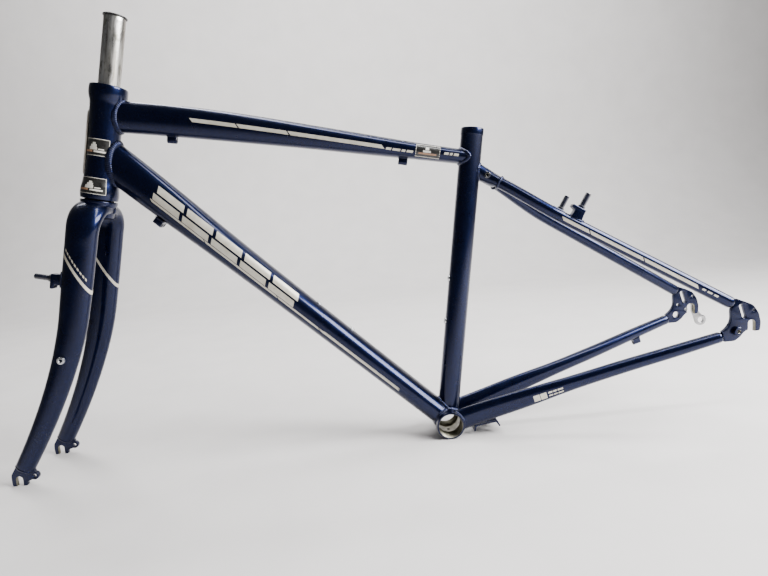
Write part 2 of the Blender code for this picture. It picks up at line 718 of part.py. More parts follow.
def build_rear_brake_mounts():
    """Rear brake mounts on the seat stays, posts pointing up and back."""
    along = direction(-SEAT_STAY_SLOPE)
    outward = direction(math.pi / 2.0 - SEAT_STAY_SLOPE)
    for name, side in (("left", -1.0), ("right", 1.0)):
        clearance = add_cutter("cut_seat_stay_" + name,
                               rod_mesh("cut_seat_stay_" + name, seat_stay_stations(side), SIDE, 12, GAP))
        foot = seat_stay_brake(side) - side * BRAKE_STAY_Y * SIDE
        build_brake_mount(("rear_brake_boss_" + name, "rear_brake_post_" + name), side, foot, along, outward,
                          0.0225, clearance)


def build_cable_stop(name, point, outward, length, centres):
    """Rounded lug with one or two cable holes, under a tube."""
    spread = max(centres)
    corner = 0.0042
    depth = 0.0095
    half = spread + corner
    outline = [(half, 0.0), (-half, 0.0)]
    outline += arc(-spread, corner - depth, corner, 180.0, 270.0, 6)
    other_corner = arc(spread, corner - depth, corner, 270.0, 360.0, 6)
    outline += other_corner if spread else other_corner[1:]
    holes = [circle(c, corner - depth, 0.0026, 12) for c in centres]
    matrix = axes_matrix(point + GAP * outward, SIDE, -outward, outward.cross(SIDE))
    plate(name, outline, holes, length, matrix, BLACK)


def build_cable_stops():
    """Cable stops under the top tube, the down tube and the right chain stay."""
    for name, u in (("front", 0.179), ("rear", 0.814)):
        along = (top_tube_centre(u + 0.02) - top_tube_centre(u - 0.02)).normalized()
        outward = SIDE.cross(along)
        surface = top_tube_centre(u) + top_tube_height(u) * outward
        build_cable_stop("cable_stop_top_" + name, surface, outward, 0.013, (0.0,))
    surface = down_tube_top(0.186, -1.0)
    build_cable_stop("cable_stop_down", surface, -down_tube_normal(), 0.013, (-0.0048, 0.0048))
    centre, width, height = chain_stay_section(0.3365, 1.0)
    outward = SIDE.cross(chain_stay_along()[0])
    build_cable_stop("cable_stop_chain_stay", centre + height * outward, outward, 0.012, (0.0,))


# ---------------------------------------------------------------------------- headset and fork

def build_headset():
    """Two cartridge bearings in the frame, the race and the compression ring on the steerer."""
    bearing = HEADSET_RADIUS - GAP
    bore = 0.0176
    lower = ring_profile(bore, bearing, HEAD_BOTTOM + 0.0005, HEAD_BOTTOM + 0.0085)
    upper = ring_profile(bore, bearing, HEAD_TOP - 0.0085, HEAD_TOP - 0.0005)
    turned("lower_bearing", lower, STEER_FOOT, STEER_UP, STEEL, True)
    turned("upper_bearing", upper, STEER_FOOT, STEER_UP, STEEL, True)
    fit = STEERER_RADIUS + GAP
    race = [(fit, HEAD_BOTTOM + 0.004), (0.0170, HEAD_BOTTOM + 0.004), (0.0173, HEAD_BOTTOM + 0.0005),
            (0.0212, HEAD_BOTTOM - 0.003), (0.0214, HEAD_BOTTOM - 0.0058), (fit, HEAD_BOTTOM - 0.0058)]
    turned("crown_race", race, STEER_FOOT, STEER_UP, STEEL, True)
    cone = [(fit, HEAD_TOP - 0.0008), (0.0173, HEAD_TOP - 0.0008), (0.0160, HEAD_TOP - 0.007),
            (fit, HEAD_TOP - 0.007)]
    turned("compression_ring", cone, STEER_FOOT, STEER_UP, STEEL, True)


def build_steerer():
    """Bare steel steerer tube with a plastic plug in its top."""
    profile = [(STEERER_BORE_RADIUS, STEERER_TOP), (STEERER_RADIUS - 0.0004, STEERER_TOP),
               (STEERER_RADIUS, STEERER_TOP - 0.0004), (STEERER_RADIUS, CROWN_BOTTOM),
               (STEERER_BORE_RADIUS, CROWN_BOTTOM)]
    turned("steerer_tube", profile, STEER_FOOT, STEER_UP, STEEL, True)
    top = STEERER_TOP + GAP
    skirt = STEERER_BORE_RADIUS - GAP
    flange = 0.0158
    profile = [(0.0, top + 0.0022), (flange - 0.001, top + 0.0022), (flange, top + 0.0016), (flange, top),
               (skirt, top), (skirt, top - 0.018), (skirt - 0.0016, top - 0.018), (skirt - 0.0016, top),
               (0.0, top)]
    turned("steerer_plug", profile, STEER_FOOT, STEER_UP, BLACK, False)


def build_fork_crown():
    """Crown sleeve round the steerer, with the seat for the crown race."""
    fit = STEERER_RADIUS + GAP
    profile = [(fit, HEAD_BOTTOM - 0.0061), (0.0172, HEAD_BOTTOM - 0.0061), (0.0172, CROWN_TOP),
               (CROWN_RADIUS - 0.001, CROWN_TOP), (CROWN_RADIUS, CROWN_TOP - 0.001),
               (CROWN_RADIUS, CROWN_BOTTOM + 0.001), (CROWN_RADIUS - 0.001, CROWN_BOTTOM),
               (fit, CROWN_BOTTOM)]
    turned("fork_crown", profile, STEER_FOOT, STEER_UP, PAINT, True)


def blade_offset(t):
    """How far the blade's centre line lies behind the steering axis."""
    if t >= BLADE_CURVE_START:
        return -BLADE_LEAD
    return -BLADE_LEAD - FORK_RAKE * ((BLADE_CURVE_START - t) / BLADE_CURVE_START) ** BLADE_CURVE_POWER


def blade_side(t):
    """How far the blade's centre line lies from the mid plane, below the bend."""
    top = BLADE_BEND_Y + BLADE_BEND_RADIUS
    return between(t, [(0.0, 0.0535), (BLADE_BOSS_T, 0.0405), (BLADE_BEND_T, top)])


def blade_half_sizes(t):
    """Half sizes of the blade's section, fore and aft and sideways."""
    depth = between(t, [(0.0, 0.0125), (0.057, 0.0139), (0.150, 0.0168), (0.222, 0.0196), (0.275, 0.0207),
                        (BLADE_BEND_T, 0.0216)])
    width = between(t, [(0.0, 0.0098), (0.150, 0.0110), (BLADE_BOSS_T, 0.0128), (BLADE_BEND_T, 0.0132)])
    return depth, width


def blade_stations(side):
    """Blade from the crown, round the bend, down and forward to the tip."""
    top = BLADE_BEND_T + BLADE_BEND_RADIUS
    stations = []
    for y, t in arc(BLADE_BEND_Y, BLADE_BEND_T, BLADE_BEND_RADIUS, 90.0, 0.0, 7):
        depth = between(t, [(BLADE_BEND_T, 0.0216), (top, CROWN_DEPTH)])
        width = between(t, [(BLADE_BEND_T, 0.0132), (top, CROWN_HALF_HEIGHT)])
        stations.append((steer_point(t, -BLADE_LEAD, side * y), depth, width))
    for t in (0.288, 0.240, 0.200, 0.160, 0.120, 0.080, 0.050, BLADE_BOTTOM):
        depth, width = blade_half_sizes(t)
        stations.append((steer_point(t, blade_offset(t), side * blade_side(t)), depth, width))
    return stations


def build_blade(name, side, sleeve):
    """One fork blade, mitred to the crown sleeve."""
    blade = add_object(name, tube_mesh(name, blade_stations(side), STEER_BACK, 16, BLADE_WALL), PAINT)
    cut(blade, sleeve)


def tip_outline():
    """Fork tip about the axle: slot open downwards, an eyelet behind and a tab into the blade."""
    slot = 0.0046
    foot = -TIP_AXLE_HEIGHT
    along = direction(math.radians(59.4))
    tab = [(TIP_SHOULDER, 0.0120), (TIP_SHOULDER, 0.0080), (0.0345, 0.0078), (0.0345, -0.0074),
           (TIP_SHOULDER, -0.0076)]
    tab = [(up * along.x - ahead * along.z, up * along.z + ahead * along.x) for up, ahead in tab]
    eyelet = arc(0.0213, 0.0038, 0.0058, 75.0, -120.0, 9)
    heel = [(0.0105, -0.0040), (0.0100, foot + 0.0012), (0.0088, foot), (slot, foot)]
    toe = [(-slot, foot), (-0.0095, foot), (-0.0107, foot + 0.0012), (-0.0110, 0.0), (-0.0106, 0.0070)]
    return tab + eyelet + heel + arc(0.0, 0.0, slot, 0.0, 180.0, 13) + toe


def build_fork_tips():
    """Fork tips that hold the axle and stand on the floor."""
    middle = FRONT_HUB_WIDTH / 2.0 + DROPOUT_THICKNESS / 2.0
    for name, side in (("left", -1.0), ("right", 1.0)):
        plate("fork_tip_" + name, tip_outline(), [circle(0.0213, 0.0038, 0.0026, 12)], DROPOUT_THICKNESS,
              side_matrix(FRONT_AXLE, side * middle), BLACK)


def build_fork_bosses(name, side):
    """Front brake mount and rack boss of one blade."""
    solid = rod_mesh("cut_blade_" + name, blade_stations(side), STEER_BACK, 16, GAP)
    clearance = add_cutter("cut_blade_" + name, solid)
    build_brake_mount(("front_brake_boss_" + name, "front_brake_post_" + name), side,
                      steer_point(BLADE_BOSS_T), STEER_UP, -STEER_BACK, 0.0350, clearance)
    depth, width = blade_half_sizes(BLADE_RACK_T)
    surface = blade_side(BLADE_RACK_T) + width
    profile = ring_profile(BOSS_BORE, 0.0052, surface - 0.003, surface + 0.0038)
    place = steer_point(BLADE_RACK_T, blade_offset(BLADE_RACK_T))
    boss = turned("fork_rack_boss_" + name, profile, place, side * SIDE, SILVER, True, 14)
    cut(boss, clearance)


def make_axis_empty(name, point, axis):
    """Empty on a joint's axis, for the pieces that move with it."""
    empty = bpy.data.objects.new(name, None)
    empty.matrix_world = turned_matrix(point, axis)
    empty.empty_display_size = 0.05
    PARTS.objects.link(empty)
    return empty


def parent_moving_pieces():
    """Hang the fork's pieces on the steering axis and the plug on its own axis."""
    steering = make_axis_empty("steering_axis", steer_point(HEAD_BOTTOM), STEER_UP)
    pull = make_axis_empty("plug_axis", steer_point(STEERER_TOP), STEER_UP)
    bpy.context.view_layer.update()
    for obj in PARTS.objects:
        if obj.type == 'EMPTY':
            continue
        if obj.name.startswith(("fork_", "front_", "steerer_tube", "crown_race", "compression_ring")):
            parent = steering
        elif obj.name == "steerer_plug":
            parent = pull
        else:
            continue
        matrix = obj.matrix_world.copy()
        obj.parent = parent
        obj.matrix_parent_inverse = parent.matrix_world.inverted()
        obj.matrix_world = matrix


def main():
    """Build the frame, then the fork."""
    head = head_cutter()
    seat = cylinder_cutter("cut_seat_tube", BB + 0.210 * SEAT_UP, SEAT_UP, SEAT_TUBE_RADIUS + GAP, 0.500, 24)
    shell = cylinder_cutter("cut_shell", BB, SIDE, BB_RADIUS + GAP, 0.090, 32)
    crown = steer_point((CROWN_BOTTOM + CROWN_TOP) / 2.0)
    sleeve = cylinder_cutter("cut_crown", crown, STEER_UP, CROWN_RADIUS + GAP, 0.060, ROUND_STEPS)
    build_head_tube()
    build_head_badge()
    build_top_tube(head, seat)
    build_down_tube(head, seat, shell)
    build_seat_tube(shell)
    build_bottom_bracket_shell()
    build_chain_stay("chain_stay_left", -1.0, shell, seat)
    build_chain_stay("chain_stay_right", 1.0, shell, seat)
    build_yoke(seat)
    build_dropouts()
    build_hanger()
    build_kickstand_plate()
    build_rear_brake_mounts()
    build_cable_stops()
    build_headset()
    build_steerer()
    build_fork_crown()
    build_blade("fork_blade_left", -1.0, sleeve)
    build_blade("fork_blade_right", 1.0, sleeve)
    build_fork_tips()
    build_fork_bosses("left", -1.0)
    build_fork_bosses("right", 1.0)
    parent_moving_pieces()


for old in list(bpy.data.objects):
    bpy.data.objects.remove(old)
PARTS = make_collection("bicycle_frame")
CUTTERS = make_collection("cutters")
PAINT = make_material("navy_paint", (0.012, 0.030, 0.110), 0.4, 0.25, 1.0)
BLACK = make_material("black_paint", (0.015, 0.015, 0.017), 0.0, 0.40)
ALLOY = make_material("satin_aluminium", (0.62, 0.62, 0.63), 1.0, 0.35)
STEEL = make_material("bare_steel", (0.60, 0.59, 0.57), 1.0, 0.25)
SILVER = make_material("silver_trim", (0.72, 0.73, 0.75), 1.0, 0.30)
main()
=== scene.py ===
"""Looks of the bicycle frame and its fork: smooth drawn tubes, weld beads, fittings, decals and paint."""

import json
import math

import bmesh
import bpy
import numpy as np
from mathutils import Matrix, Vector


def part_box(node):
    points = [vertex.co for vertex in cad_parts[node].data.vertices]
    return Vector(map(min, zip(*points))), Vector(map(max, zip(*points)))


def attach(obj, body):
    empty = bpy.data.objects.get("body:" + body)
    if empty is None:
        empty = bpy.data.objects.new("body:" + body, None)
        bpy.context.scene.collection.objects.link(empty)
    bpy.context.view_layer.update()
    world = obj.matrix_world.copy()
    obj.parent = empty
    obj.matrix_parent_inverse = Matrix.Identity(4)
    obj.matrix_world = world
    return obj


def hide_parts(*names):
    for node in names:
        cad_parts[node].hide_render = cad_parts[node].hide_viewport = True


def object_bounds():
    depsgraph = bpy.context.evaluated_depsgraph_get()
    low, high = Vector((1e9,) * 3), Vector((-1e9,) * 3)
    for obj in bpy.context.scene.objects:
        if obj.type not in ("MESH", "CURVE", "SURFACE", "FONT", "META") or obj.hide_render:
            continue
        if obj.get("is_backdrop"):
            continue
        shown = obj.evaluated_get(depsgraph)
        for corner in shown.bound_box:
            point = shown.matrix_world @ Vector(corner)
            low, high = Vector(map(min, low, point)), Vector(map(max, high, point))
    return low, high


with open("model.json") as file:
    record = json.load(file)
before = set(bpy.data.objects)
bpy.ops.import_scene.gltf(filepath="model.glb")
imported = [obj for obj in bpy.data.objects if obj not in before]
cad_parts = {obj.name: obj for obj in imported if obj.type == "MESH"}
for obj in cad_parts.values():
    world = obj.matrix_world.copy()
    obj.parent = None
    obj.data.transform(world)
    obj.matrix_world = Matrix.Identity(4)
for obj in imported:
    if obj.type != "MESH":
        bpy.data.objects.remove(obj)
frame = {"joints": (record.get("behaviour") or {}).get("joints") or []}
cad_low, cad_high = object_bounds()

# ---------------------------------------------------------------------------- driving dimensions

HEAD_ANGLE = math.radians(69.5)
SEAT_ANGLE = math.radians(74.0)
FRONT_CENTRE = 0.6155
CHAINSTAY_LENGTH = 0.443
BB_DROP = 0.069
FORK_RAKE = 0.050
HEAD_BOTTOM = 0.403
HEAD_TOP = 0.559
HEAD_WAIST = 0.0222
BB_RADIUS = 0.0205
BB_BORE = 0.0174
SEAT_TUBE_RADIUS = 0.0159
SEAT_TUBE_LENGTH = 0.434
SEATPOST_RADIUS = 0.0137
SEAT_TUBE_BORE = 0.0143
STEERER_RADIUS = 0.0143
STEERER_BORE = 0.0128
STEERER_TOP = 0.652
BLADE_BEND_RADIUS = 0.032
BLADE_BEND_Y = 0.007
BLADE_BEND_T = 0.3585
BLADE_CURVE_START = 0.240
STAY_END_Y = 0.069
SEAT_STAY_RADIUS = 0.0082
SEAT_STAY_SLOPE = math.radians(31.7)
STAY_SLOPE = math.radians(15.7)
CHAIN_STAY_END = (-0.0400, -0.0165)
SEAT_STAY_END = (-0.0245, 0.0290)
BRAKE_Y = 0.040
PLATE = 0.006
REAR_HUB_HALF = 0.0675
FRONT_HUB_HALF = 0.050
SIDE_FACE = 0.0735
RIM = 0.0795
STAY_BRAKE_REACH = 0.2467
STAY_BRAKE_Y = 0.0384
FORK_BRAKE_T = 0.288
FORK_BOSS_T = 0.179
BLADE_SHIFT = -0.0008
CROWN_FOOT = 0.3785
TIP_SLOT = 0.0046
TIP_EYELET = (0.0213, 0.0038)
HANGER_BOLT = (-0.0088, -0.0025)
HANGER_EYE = (0.0203, -0.0240)
GAP = 0.0003
SINK = 0.0006
TUBE_WALL = 0.0018
STAY_WALL = 0.0013
THREAD_BORE = 0.0021
CORE = 0.000001
SHARP = 35.0
SIDES = (("left", -1.0), ("right", 1.0))

SIDE = np.array((0.0, 1.0, 0.0))
RIGHT = np.array((1.0, 0.0, 0.0))
UP = np.array((0.0, 0.0, 1.0))
STEER_UP = np.array(frame["joints"][0]["axis"])
BB = np.array(sum(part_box("bottom_bracket_shell"), Vector())) / 2.0
NOSE_DOWN = math.atan2(STEER_UP[2], STEER_UP[0]) - HEAD_ANGLE


def direction(angle):
    """Unit vector in the mid plane at an angle above the rearward horizontal."""
    return np.array((math.cos(angle), 0.0, math.sin(angle)))


def riding_point(x, z):
    """A point of the riding position about the bottom bracket, as it stands nose down."""
    return BB + x * direction(NOSE_DOWN) + z * direction(NOSE_DOWN + math.pi / 2)


STEER_BACK = direction(HEAD_ANGLE + NOSE_DOWN - math.pi / 2)
SEAT_UP = direction(SEAT_ANGLE + NOSE_DOWN)
SEAT_REAR = np.cross(SIDE, SEAT_UP)
FRONT_AXLE = riding_point(-math.sqrt(FRONT_CENTRE ** 2 - BB_DROP ** 2), BB_DROP)
REAR_AXLE = riding_point(math.sqrt(CHAINSTAY_LENGTH ** 2 - BB_DROP ** 2), BB_DROP)
STEER_FOOT = FRONT_AXLE + FORK_RAKE * STEER_BACK


def steer_point(t, s=0.0, y=0.0):
    """Point t up the steering axis, s behind it and y to the side; t, s and y may be arrays."""
    t, s, y = (np.asarray(v, float)[..., None] for v in (t, s, y))
    return STEER_FOOT + t * STEER_UP + s * STEER_BACK + y * SIDE


# ---------------------------------------------------------------------------- shape kit

def unit(v):
    """Vectors scaled to length one."""
    return v / np.linalg.norm(v, axis=-1, keepdims=True)


def travelled(line):
    """Distance along a line at each of its points."""
    return np.concatenate(([0.0], np.cumsum(np.linalg.norm(np.diff(line, axis=0), axis=1))))


def squared(a, power):
    """Cosine and sine of angles, drawn out towards a square where the power is under one."""
    x = np.cos(a)
    y = np.sin(a)
    return np.sign(x) * np.abs(x) ** power, np.sign(y) * np.abs(y) ** power


def smooth(keys, values):
    """Smooth function through values at keys, straight beyond its ends."""
    keys = np.array(keys, float)
    values = np.array(values, float)
    slopes = np.gradient(values, keys, axis=0)

    def read(u):
        u = np.asarray(u, float)
        i = np.clip(np.searchsorted(keys, u, side="right") - 1, 0, len(keys) - 2)
        step = keys[i + 1] - keys[i]
        t = np.clip((u - keys[i]) / step, 0.0, 1.0)
        beyond = u - np.clip(u, keys[0], keys[-1])
        if values.ndim > 1:
            step, t, beyond = step[..., None], t[..., None], beyond[..., None]
        curve = ((1 + 2 * t) * (1 - t) ** 2 * values[i] + t * (1 - t) ** 2 * step * slopes[i]
                 + t * t * (3 - 2 * t) * values[i + 1] + t * t * (t - 1) * step * slopes[i + 1])
        return curve + beyond * np.where(t > 0.5, slopes[i + 1], slopes[i])
    return read


class Tube:
    """Oval tube: centre line, half size along the reference, the other half size and squareness."""

    def __init__(self, centre, across, other, reference, power=2.0):
        self.centre = centre
        self.across = across
        self.other = other
        self.reference = reference
        self.power = power

    def axes(self, u):
        """Direction along the tube and the two section axes at u."""
        along = unit(self.centre(u + 0.001) - self.centre(u - 0.001))
        first = unit(self.reference - (along @ self.reference)[..., None] * along)
        return along, first, np.cross(along, first)

    def point(self, u, a, grow=0.0):
        """Surface point at u and angle a, from the reference towards the other axis."""
        u, a = np.broadcast_arrays(np.asarray(u, float), np.asarray(a, float))
        along, first, second = self.axes(u)
        x, y = squared(a, 2.0 / self.power)
        x = x * (self.across(u) + grow)
        y = y * (self.other(u) + grow)
        return self.centre(u) + x[..., None] * first + y[..., None] * second

    def meets(self, origin, axis, radius, inside, outside, a):
        """The u, for each angle a, where the surface crosses a cylinder between two values of u."""
        low = np.full(len(a), float(inside))
        high = np.full(len(a), float(outside))
        for _ in range(40):
            middle = (low + high) / 2
            reach = self.point(middle, a) - origin
            away = np.linalg.norm(reach - (reach @ axis)[:, None] * axis, axis=1)
            low = np.where(away < radius, middle, low)
            high = np.where(away < radius, high, middle)
        return (low + high) / 2


def angles(count):
    """Angles once round, for a ring of points."""
    return np.linspace(0.0, 2.0 * math.pi, count, endpoint=False)


def link(obj):
    """Put an object in the scene."""
    bpy.context.scene.collection.objects.link(obj)
    return obj


def evaluated(obj):
    """New mesh of an object as its modifiers or curve settings make it."""
    bpy.context.view_layer.update()
    return bpy.data.meshes.new_from_object(obj.evaluated_get(bpy.context.evaluated_depsgraph_get()))


def welded(mesh, distance):
    """The mesh with points closer than a distance merged and its faces turned outwards."""
    work = bmesh.new()
    work.from_mesh(mesh)
    bmesh.ops.remove_doubles(work, verts=work.verts, dist=distance)
    bmesh.ops.recalc_face_normals(work, faces=work.faces)
    work.to_mesh(mesh)
    work.free()
    return mesh


def smoothed(mesh, sharp=SHARP):
    """The mesh shaded smooth, with edges over an angle in degrees left sharp."""
    mesh.shade_smooth()
    mesh.set_sharp_from_angle(angle=math.radians(sharp))
    return mesh


class Builder:
    """Collects grids of points into one mesh."""

    def __init__(self):
        self.points = []
        self.faces = []
        self.marks = []
        self.mark = 0

    def grid(self, points, wrap=True, loop=False, flip=False):
        """Quads over rows and columns of points; wrap joins the columns and loop the rows."""
        points = np.asarray(points, float)
        rows, columns = points.shape[:2]
        base = sum(len(p) for p in self.points)
        self.points.append(points.reshape(-1, 3))
        for i in range(rows if loop else rows - 1):
            j = (i + 1) % rows
            for k in range(columns if wrap else columns - 1):
                n = (k + 1) % columns
                here = base + i * columns
                there = base + j * columns
                quad = (here + k, here + n, there + n, there + k)
                self.faces.append(quad[::-1] if flip else quad)
                self.marks.append(self.mark)
        return self

    def slab(self, top, bottom):
        """Thin closed piece between a grid of points and the grid under it."""
        rows, columns = top.shape[:2]
        ring = [(0, k) for k in range(columns)] + [(i, columns - 1) for i in range(1, rows)]
        ring += [(rows - 1, k) for k in range(columns - 2, -1, -1)]
        ring += [(i, 0) for i in range(rows - 2, 0, -1)]
        self.grid(top, wrap=False)
        self.grid(bottom, wrap=False, flip=True)
        edge = np.array([[top[i] for i in ring], [bottom[i] for i in ring]])
        self.grid(edge, wrap=True)
        return self

    def mesh(self, name, sharp=SHARP):
        """The finished mesh, welded where grids share points."""
        mesh = bpy.data.meshes.new(name)
        mesh.from_pydata(np.concatenate(self.points).tolist(), [], self.faces)
        mesh.polygons.foreach_set("material_index", self.marks)
        return smoothed(welded(mesh, 0.000002), sharp)


def piece(name, mesh, body, slot, *materials, replaces=()):
    """Object for a mesh in the row frame: what it rides on and its materials; the record slot argument is
    not used.
    """
    for material in materials:
        mesh.materials.append(material)
    obj = link(bpy.data.objects.new(name, mesh))
    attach(obj, body)
    if replaces:
        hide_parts(*replaces)
    return obj


def rounded(points, radius, steps=4, closed=True):
    """Outline with each corner rounded off."""
    points = [np.array(p, float) for p in points]
    count = len(points)
    out = []
    for i, here in enumerate(points):
        if not closed and i in (0, count - 1):
            out.append(here)
            continue
        before = points[i - 1] - here
        after = points[(i + 1) % count] - here
        start = here + before * min(0.5, radius / np.linalg.norm(before))
        end = here + after * min(0.5, radius / np.linalg.norm(after))
        for t in np.linspace(0.0, 1.0, steps):
            out.append((1 - t) ** 2 * start + 2 * t * (1 - t) * here + t * t * end)
    return out


def arc(cx, cy, radius, start, end, count):
    """Points of a circular arc, angles in degrees."""
    turn = np.radians(np.linspace(start, end, count))
    return [(cx + radius * math.cos(a), cy + radius * math.sin(a)) for a in turn]


def circle(cx, cy, radius, count=40):
    """Points once round a circle."""
    return arc(cx, cy, radius, 0.0, 360.0 * (count - 1) / count, count)


def turned(build, profile, origin, axis, steps=64):
    """Revolve a closed profile of (radius, height), outer side upwards, about an axis."""
    profile = np.array(profile, float)
    across = RIGHT if abs(axis[1]) > 0.9 else SIDE
    other = np.cross(axis, across)
    a = angles(steps)
    round_point = np.cos(a)[:, None] * across + np.sin(a)[:, None] * other
    rows = origin + profile[:, 1, None, None] * axis + profile[:, 0, None, None] * round_point[None]
    build.grid(rows, loop=True)
    return build


def turned_piece(name, profile, origin, axis, body, slot, material, replaces=(), steps=64):
    """A whole piece from one revolved profile."""
    mesh = turned(Builder(), profile, origin, axis, steps).mesh(name)
    return piece(name, mesh, body, slot, material, replaces=replaces)


def ring(bore, radius, bottom, top, soft=0.0006):
    """Closed profile of a ring with softened outer corners."""
    points = [(bore, bottom), (radius, bottom), (radius, top), (bore, top)]
    return rounded(points, soft)


def placed(origin, local_x, local_y):
    """Matrix that lays local X and Y along two directions."""
    rows = np.column_stack((local_x, local_y, np.cross(local_x, local_y), origin))
    return Matrix(rows.tolist() + [[0.0, 0.0, 0.0, 1.0]])


def plate_mesh(name, outline, holes, thickness, matrix, bevel=0.0006):
    """Plate with bevelled edges from an outline and its holes."""
    curve = bpy.data.curves.new(name, 'CURVE')
    curve.dimensions = '2D'
    curve.fill_mode = 'BOTH'
    curve.extrude = thickness / 2.0 - bevel
    curve.bevel_depth = bevel
    curve.bevel_resolution = 2
    curve.offset = -bevel
    for loop in [outline] + holes:
        spline = curve.splines.new('POLY')
        spline.points.add(len(loop) - 1)
        for point, (x, y) in zip(spline.points, loop):
            point.co = (x, y, 0.0, 1.0)
        spline.use_cyclic_u = True
    obj = link(bpy.data.objects.new(name + "_outline", curve))
    mesh = evaluated(obj)
    mesh.name = name
    mesh.transform(matrix)
    bpy.data.objects.remove(obj)
    bpy.data.curves.remove(curve)
    return smoothed(welded(mesh, 0.000005))


def cylinder_tool(centre, axis, radius, length, steps=40):
    """Loose cylinder to cut with."""
    build = Builder()
    profile = [(CORE, -length / 2), (radius, -length / 2), (radius, length / 2), (CORE, length / 2)]
    turned(build, profile, np.array(centre, float), np.array(axis, float), steps)
    return build.mesh("tool")


def box_tool(matrix, size):
    """Loose box to cut with."""
    mesh = bpy.data.meshes.new("tool")
    work = bmesh.new()
    bmesh.ops.create_cube(work, size=1.0, matrix=matrix @ Matrix.Diagonal((*size, 1.0)))
    work.to_mesh(mesh)
    work.free()
    return mesh


def carve(obj, *tools):
    """Cut tools out of a piece and keep its smooth shading."""
    for mesh in tools:
        tool = link(bpy.data.objects.new("tool", mesh))
        boolean = obj.modifiers.new("Cut", 'BOOLEAN')
        boolean.operation = 'DIFFERENCE'
        boolean.solver = 'EXACT'
        boolean.object = tool
        done = evaluated(obj)
        obj.modifiers.clear()
        obj.data = done
        bpy.data.objects.remove(tool)
        bpy.data.meshes.remove(mesh)
    smoothed(obj.data, 32.0)


def paint_where(mesh, index, test):
    """Give material index to the faces whose centres pass a test."""
    for polygon in mesh.polygons:
        if test(np.array(polygon.center)):
            polygon.material_index = index


def radius_from(point, origin, axis):
    """Distance of a point from an axis."""
    reach = point - origin
    return float(np.linalg.norm(reach - (reach @ axis) * axis))


def bead(build, line, outward, size=0.0026, pitch=0.0023, closed=True, flat=0.80):
    """Weld bead along a line: overlapping crescents of metal, half sunk in the joint."""
    line = np.asarray(line, float)
    outward = np.asarray(outward, float)
    if closed:
        line = np.vstack((line, line[:1]))
        outward = np.vstack((outward, outward[:1]))
    travel = travelled(line)
    ripples = max(3, round(travel[-1] / pitch))
    count = ripples * 6
    place = np.linspace(0.0, travel[-1], count, endpoint=not closed)
    centre = np.column_stack([np.interp(place, travel, line[:, i]) for i in range(3)])
    up = unit(np.column_stack([np.interp(place, travel, outward[:, i]) for i in range(3)]))
    along = np.roll(centre, -1, 0) - np.roll(centre, 1, 0)
    if not closed:
        along[0] = centre[1] - centre[0]
        along[-1] = centre[-1] - centre[-2]
    along = unit(along)
    across = unit(np.cross(along, up))
    phase = place / travel[-1] * ripples
    wave = np.abs(np.sin(np.pi * phase)) ** 0.7
    wander = 1.0 + 0.06 * np.sin(place * 331.0) + 0.04 * np.sin(place * 787.0 + 1.3)
    radius = size * (0.86 + 0.16 * wave) * wander
    if not closed:
        radius[0] = radius[-1] = 0.00001
    turn = angles(12)
    lag = 0.42 * pitch * np.cos(turn)[None, :, None] * along[:, None, :]
    rows = (centre[:, None, :] + lag
            + (radius[:, None] * flat * np.cos(turn))[..., None] * up[:, None, :]
            + (radius[:, None] * 1.05 * np.sin(turn))[..., None] * across[:, None, :])
    build.grid(rows, loop=closed)
    return build


# ---------------------------------------------------------------------------- materials

